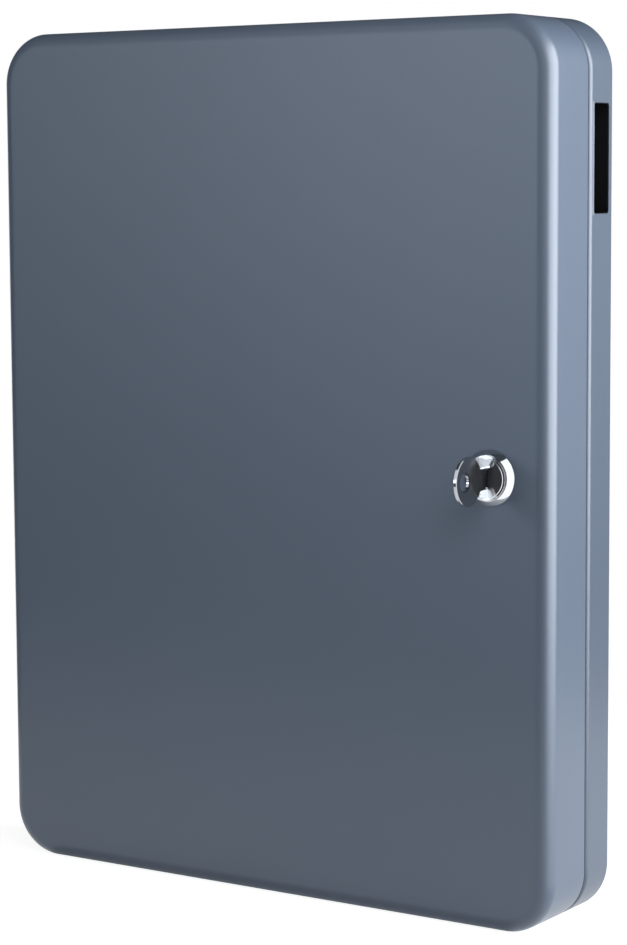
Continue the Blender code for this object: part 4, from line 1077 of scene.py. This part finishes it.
def makeFloor():
    floor = {"half": 500.0, "level": -225.1, "thick": 0.1, "lift": 0.86, "shadeFrom": 2.0, "shadeTo": 34.0}
    item = newObject("studioFloor", blockShape(
        (-floor["half"], -floor["half"], floor["level"] - floor["thick"]), (floor["half"], floor["half"], floor["level"]),
    ))
    material, tree, output, place = newMaterial("white painted board")
    seen, path = seenBy(tree)
    tooth = addNode(tree, "ShaderNodeTexNoise", {"Vector": place, "Scale": 1 / 3.0, "Detail": 2.0})
    rough = addNode(tree, "ShaderNodeMapRange", {"Value": tooth.outputs[0], "To Min": 0.85, "To Max": 0.95})
    # painted shade: shiny pieces see the board's glow darken close to the cabinet's foot, standing in for the cabinet's
    # contact shadow
    offset = addNode(tree, "ShaderNodeVectorMath", {0: place, 1: (0, doorTray["closedAt"] / 2, 0)}, operation="SUBTRACT")
    size = addNode(tree, "ShaderNodeVectorMath", {0: offset.outputs["Vector"]}, operation="ABSOLUTE")
    # sideways the painted shade ends sooner, under the corners
    wide = addNode(tree, "ShaderNodeVectorMath", {0: size.outputs["Vector"], 1: (4, 1, 1)}, operation="MULTIPLY")
    beyond = addNode(tree, "ShaderNodeVectorMath", {
        0: wide.outputs["Vector"],
        1: (4 * (doorTray["width"] / 2 - doorTray["cornerRadius"]), -doorTray["closedAt"] / 2, doorTray["height"]),
    }, operation="SUBTRACT")
    outside = addNode(tree, "ShaderNodeVectorMath", {0: beyond.outputs["Vector"], 1: (0, 0, 0)}, operation="MAXIMUM")
    away = addNode(tree, "ShaderNodeVectorMath", {0: outside.outputs["Vector"]}, operation="LENGTH")
    shade = addNode(tree, "ShaderNodeMapRange", {
        "Value": away.outputs["Value"], "From Min": floor["shadeFrom"], "From Max": floor["shadeTo"],
        "To Min": 0.25, "To Max": 1.0,
    }, interpolation_type="SMOOTHSTEP")
    paintedShadeLevel = addNode(tree, "ShaderNodeMath", {
        0: path.outputs["Is Camera Ray"], 1: shade.outputs["Result"],
    }, operation="MAXIMUM")
    level = addNode(tree, "ShaderNodeMath", {0: seen, 1: floor["lift"]}, operation="MULTIPLY")
    lift = addNode(tree, "ShaderNodeMath", {0: level.outputs[0], 1: paintedShadeLevel.outputs[0]}, operation="MULTIPLY")
    shader = addNode(tree, "ShaderNodeBsdfPrincipled", {
        "Base Color": linear("#b4b4b4"), "Roughness": rough.outputs["Result"], "Specular IOR Level": 0.0,
        "Emission Color": (1, 1, 1, 1), "Emission Strength": lift.outputs[0],
    })
    finishMaterial(tree, output, shader)
    item.data.materials.append(material)
    # the board takes the cabinet's shadow, but throws no light back at it
    item.visible_diffuse = False
    item.visible_shadow = False


def makeWorld():
    # what shiny surfaces see of the studio, by heading from the camera's side of the door (degrees,
    # 0 straight out of the door, 90 to the right) and by height over the horizon
    studio = {
        "plain": (0.10, 0.10, 0.10, 1), "dark": (0.008, 0.009, 0.012, 1), "slate": (0.055, 0.066, 0.082, 1),
        "white": (1.36, 1.39, 1.44, 1), "bright": (6.3, 6.8, 7.5, 1),
        "rightFrom": 50.0, "rightTo": 130.0, "rightTop": 62.0,
        "backFrom": -165.0, "backTo": -108.0, "backTop": 4.0,
        "cardFrom": -34.5, "cardTo": -23.0, "cardLow": -1.0, "cardTop": 9.0,
        "stripTop": 48.0, "stripBack": -75.0, "gapLow": -15.0,
        "floorTo": -24.0, "slateFrom": 24.0, "edge": 1.6,
    }
    world = bpy.data.worlds.new("studio")
    world.use_nodes = True
    bpy.context.scene.world = world
    tree = world.node_tree
    tree.nodes.clear()
    path = addNode(tree, "ShaderNodeLightPath")
    direction = addNode(tree, "ShaderNodeTexCoord").outputs["Generated"]
    parts = addNode(tree, "ShaderNodeSeparateXYZ", {0: direction})
    toFront = addNode(tree, "ShaderNodeMath", {0: parts.outputs["Y"], 1: -1.0}, operation="MULTIPLY")
    turn = addNode(tree, "ShaderNodeMath", {0: parts.outputs["X"], 1: toFront.outputs[0]}, operation="ARCTAN2")
    heading = addNode(tree, "ShaderNodeMath", {0: turn.outputs[0]}, operation="DEGREES")
    rise = addNode(tree, "ShaderNodeMath", {0: parts.outputs["Z"]}, operation="ARCSINE")
    height = addNode(tree, "ShaderNodeMath", {0: rise.outputs[0]}, operation="DEGREES")
    aside = addNode(tree, "ShaderNodeMath", {0: parts.outputs["X"]}, operation="ARCSINE")
    lean = addNode(tree, "ShaderNodeMath", {0: aside.outputs[0]}, operation="DEGREES")

    def step(source, level, up=True):
        low, high = level - studio["edge"], level + studio["edge"]
        return addNode(tree, "ShaderNodeMapRange", {
            "Value": source.outputs[0], "From Min": low if up else high, "From Max": high if up else low,
        }, interpolation_type="SMOOTHSTEP").outputs[0]

    def product(first, second):
        return addNode(tree, "ShaderNodeMath", {0: first, 1: second}, operation="MULTIPLY").outputs[0]

    def either(first, second):
        return addNode(tree, "ShaderNodeMath", {0: first, 1: second}, operation="MAXIMUM").outputs[0]

    def between(low, high):
        return product(step(heading, studio[low]), step(heading, studio[high], up=False))

    right = product(between("rightFrom", "rightTo"), step(height, studio["rightTop"], up=False))
    back = product(between("backFrom", "backTo"), step(height, studio["backTop"], up=False))
    card = product(between("cardFrom", "cardTo"), step(height, studio["cardLow"]))
    card = product(card, step(height, studio["cardTop"], up=False))
    # a tall white strip passes behind the card; it leans to the left as it rises, and leaves a gap under the card
    strip = product(step(lean, studio["cardFrom"]), step(lean, studio["cardTo"], up=False))
    strip = product(strip, step(heading, studio["stripBack"]))
    upper = product(step(height, studio["cardLow"]), step(height, studio["stripTop"], up=False))
    strip = product(strip, either(upper, step(height, studio["gapLow"], up=False)))
    bright = either(either(right, back), either(strip, step(height, studio["floorTo"], up=False)))
    high = step(height, studio["slateFrom"])
    shade = addNode(tree, "ShaderNodeMix", {0: high, 6: studio["dark"], 7: studio["slate"]}, data_type="RGBA")
    mirror = addNode(tree, "ShaderNodeMix", {
        0: bright, 6: shade.outputs[2], 7: studio["white"],
    }, data_type="RGBA")
    mirror = addNode(tree, "ShaderNodeMix", {
        0: card, 6: mirror.outputs[2], 7: studio["bright"],
    }, data_type="RGBA")
    plain = addNode(tree, "ShaderNodeMix", {
        0: path.outputs["Is Glossy Ray"], 6: studio["plain"], 7: mirror.outputs[2],
    }, data_type="RGBA")
    final = addNode(tree, "ShaderNodeMix", {
        0: path.outputs["Is Camera Ray"], 6: plain.outputs[2], 7: (1, 1, 1, 1),
    }, data_type="RGBA")
    background = addNode(tree, "ShaderNodeBackground", {"Color": final.outputs[2], "Strength": 1.0})
    output = addNode(tree, "ShaderNodeOutputWorld")
    tree.links.new(background.outputs[0], output.inputs["Surface"])


def polar(heading, height, distance):
    # a place in the studio, by heading and height in degrees from the middle of the cabinet
    turn, rise = math.radians(heading), math.radians(height)
    return (
        distance * math.sin(turn) * math.cos(rise), -distance * math.cos(turn) * math.cos(rise),
        distance * math.sin(rise),
    )


def addSoftbox(name, light):
    data = bpy.data.lights.new(name, "AREA")
    data.shape = "RECTANGLE"
    data.size = light["width"] * mm
    data.size_y = light["height"] * mm
    data.energy = light["watts"]
    data.color = light["colour"]
    item = bpy.data.objects.new(name, data)
    place = Vector(polar(*light["place"])) * mm
    item.location = place
    item.rotation_euler = (Vector((0, -0.03, 0)) - place).to_track_quat("-Z", "Y").to_euler()
    item.visible_diffuse = light["lights"]
    item.visible_glossy = light["mirrored"]
    bpy.context.scene.collection.objects.link(item)
    if "only" in light:
        # lights these pieces and no others
        targets = bpy.data.collections.new(name + "Targets")
        for piece in light["only"]:
            targets.objects.link(bpy.data.objects[piece])
        item.light_linking.receiver_collection = targets


def placeLights():
    # place is (heading, height, distance); a box that is only mirrored is a card for the highlights
    addSoftbox("rightKey", {
        "place": (106, 15, 1250), "width": 700, "height": 900, "watts": 19.5, "colour": (0.97, 0.985, 1.0),
        "lights": True, "mirrored": False,
    })
    addSoftbox("rightCard", {
        "place": (97, 15, 1250), "width": 1600, "height": 1240, "watts": 52.5, "colour": (0.98, 0.99, 1.0),
        "lights": False, "mirrored": True, "only": ("doorShell", "backBoxShell", "slotFlare"),
    })
    addSoftbox("frontFill", {
        "place": (39, 26, 745), "width": 450, "height": 450, "watts": 1.95, "colour": (1.0, 1.0, 1.0),
        "lights": True, "mirrored": False,
    })
    addSoftbox("lowRight", {
        "place": (98, -64, 800), "width": 500, "height": 400, "watts": 1.7, "colour": (1.0, 1.0, 1.0),
        "lights": True, "mirrored": False,
    })
    addSoftbox("leftFill", {
        "place": (-42, 14, 2500), "width": 900, "height": 900, "watts": 17.0, "colour": (1.0, 1.0, 1.0),
        "lights": True, "mirrored": False,
    })


placeCamera()
makeFloor()
makeWorld()
placeLights()
bpy.context.scene.view_settings.view_transform = "Standard"
print("key cabinet: camera, floor and light placed")
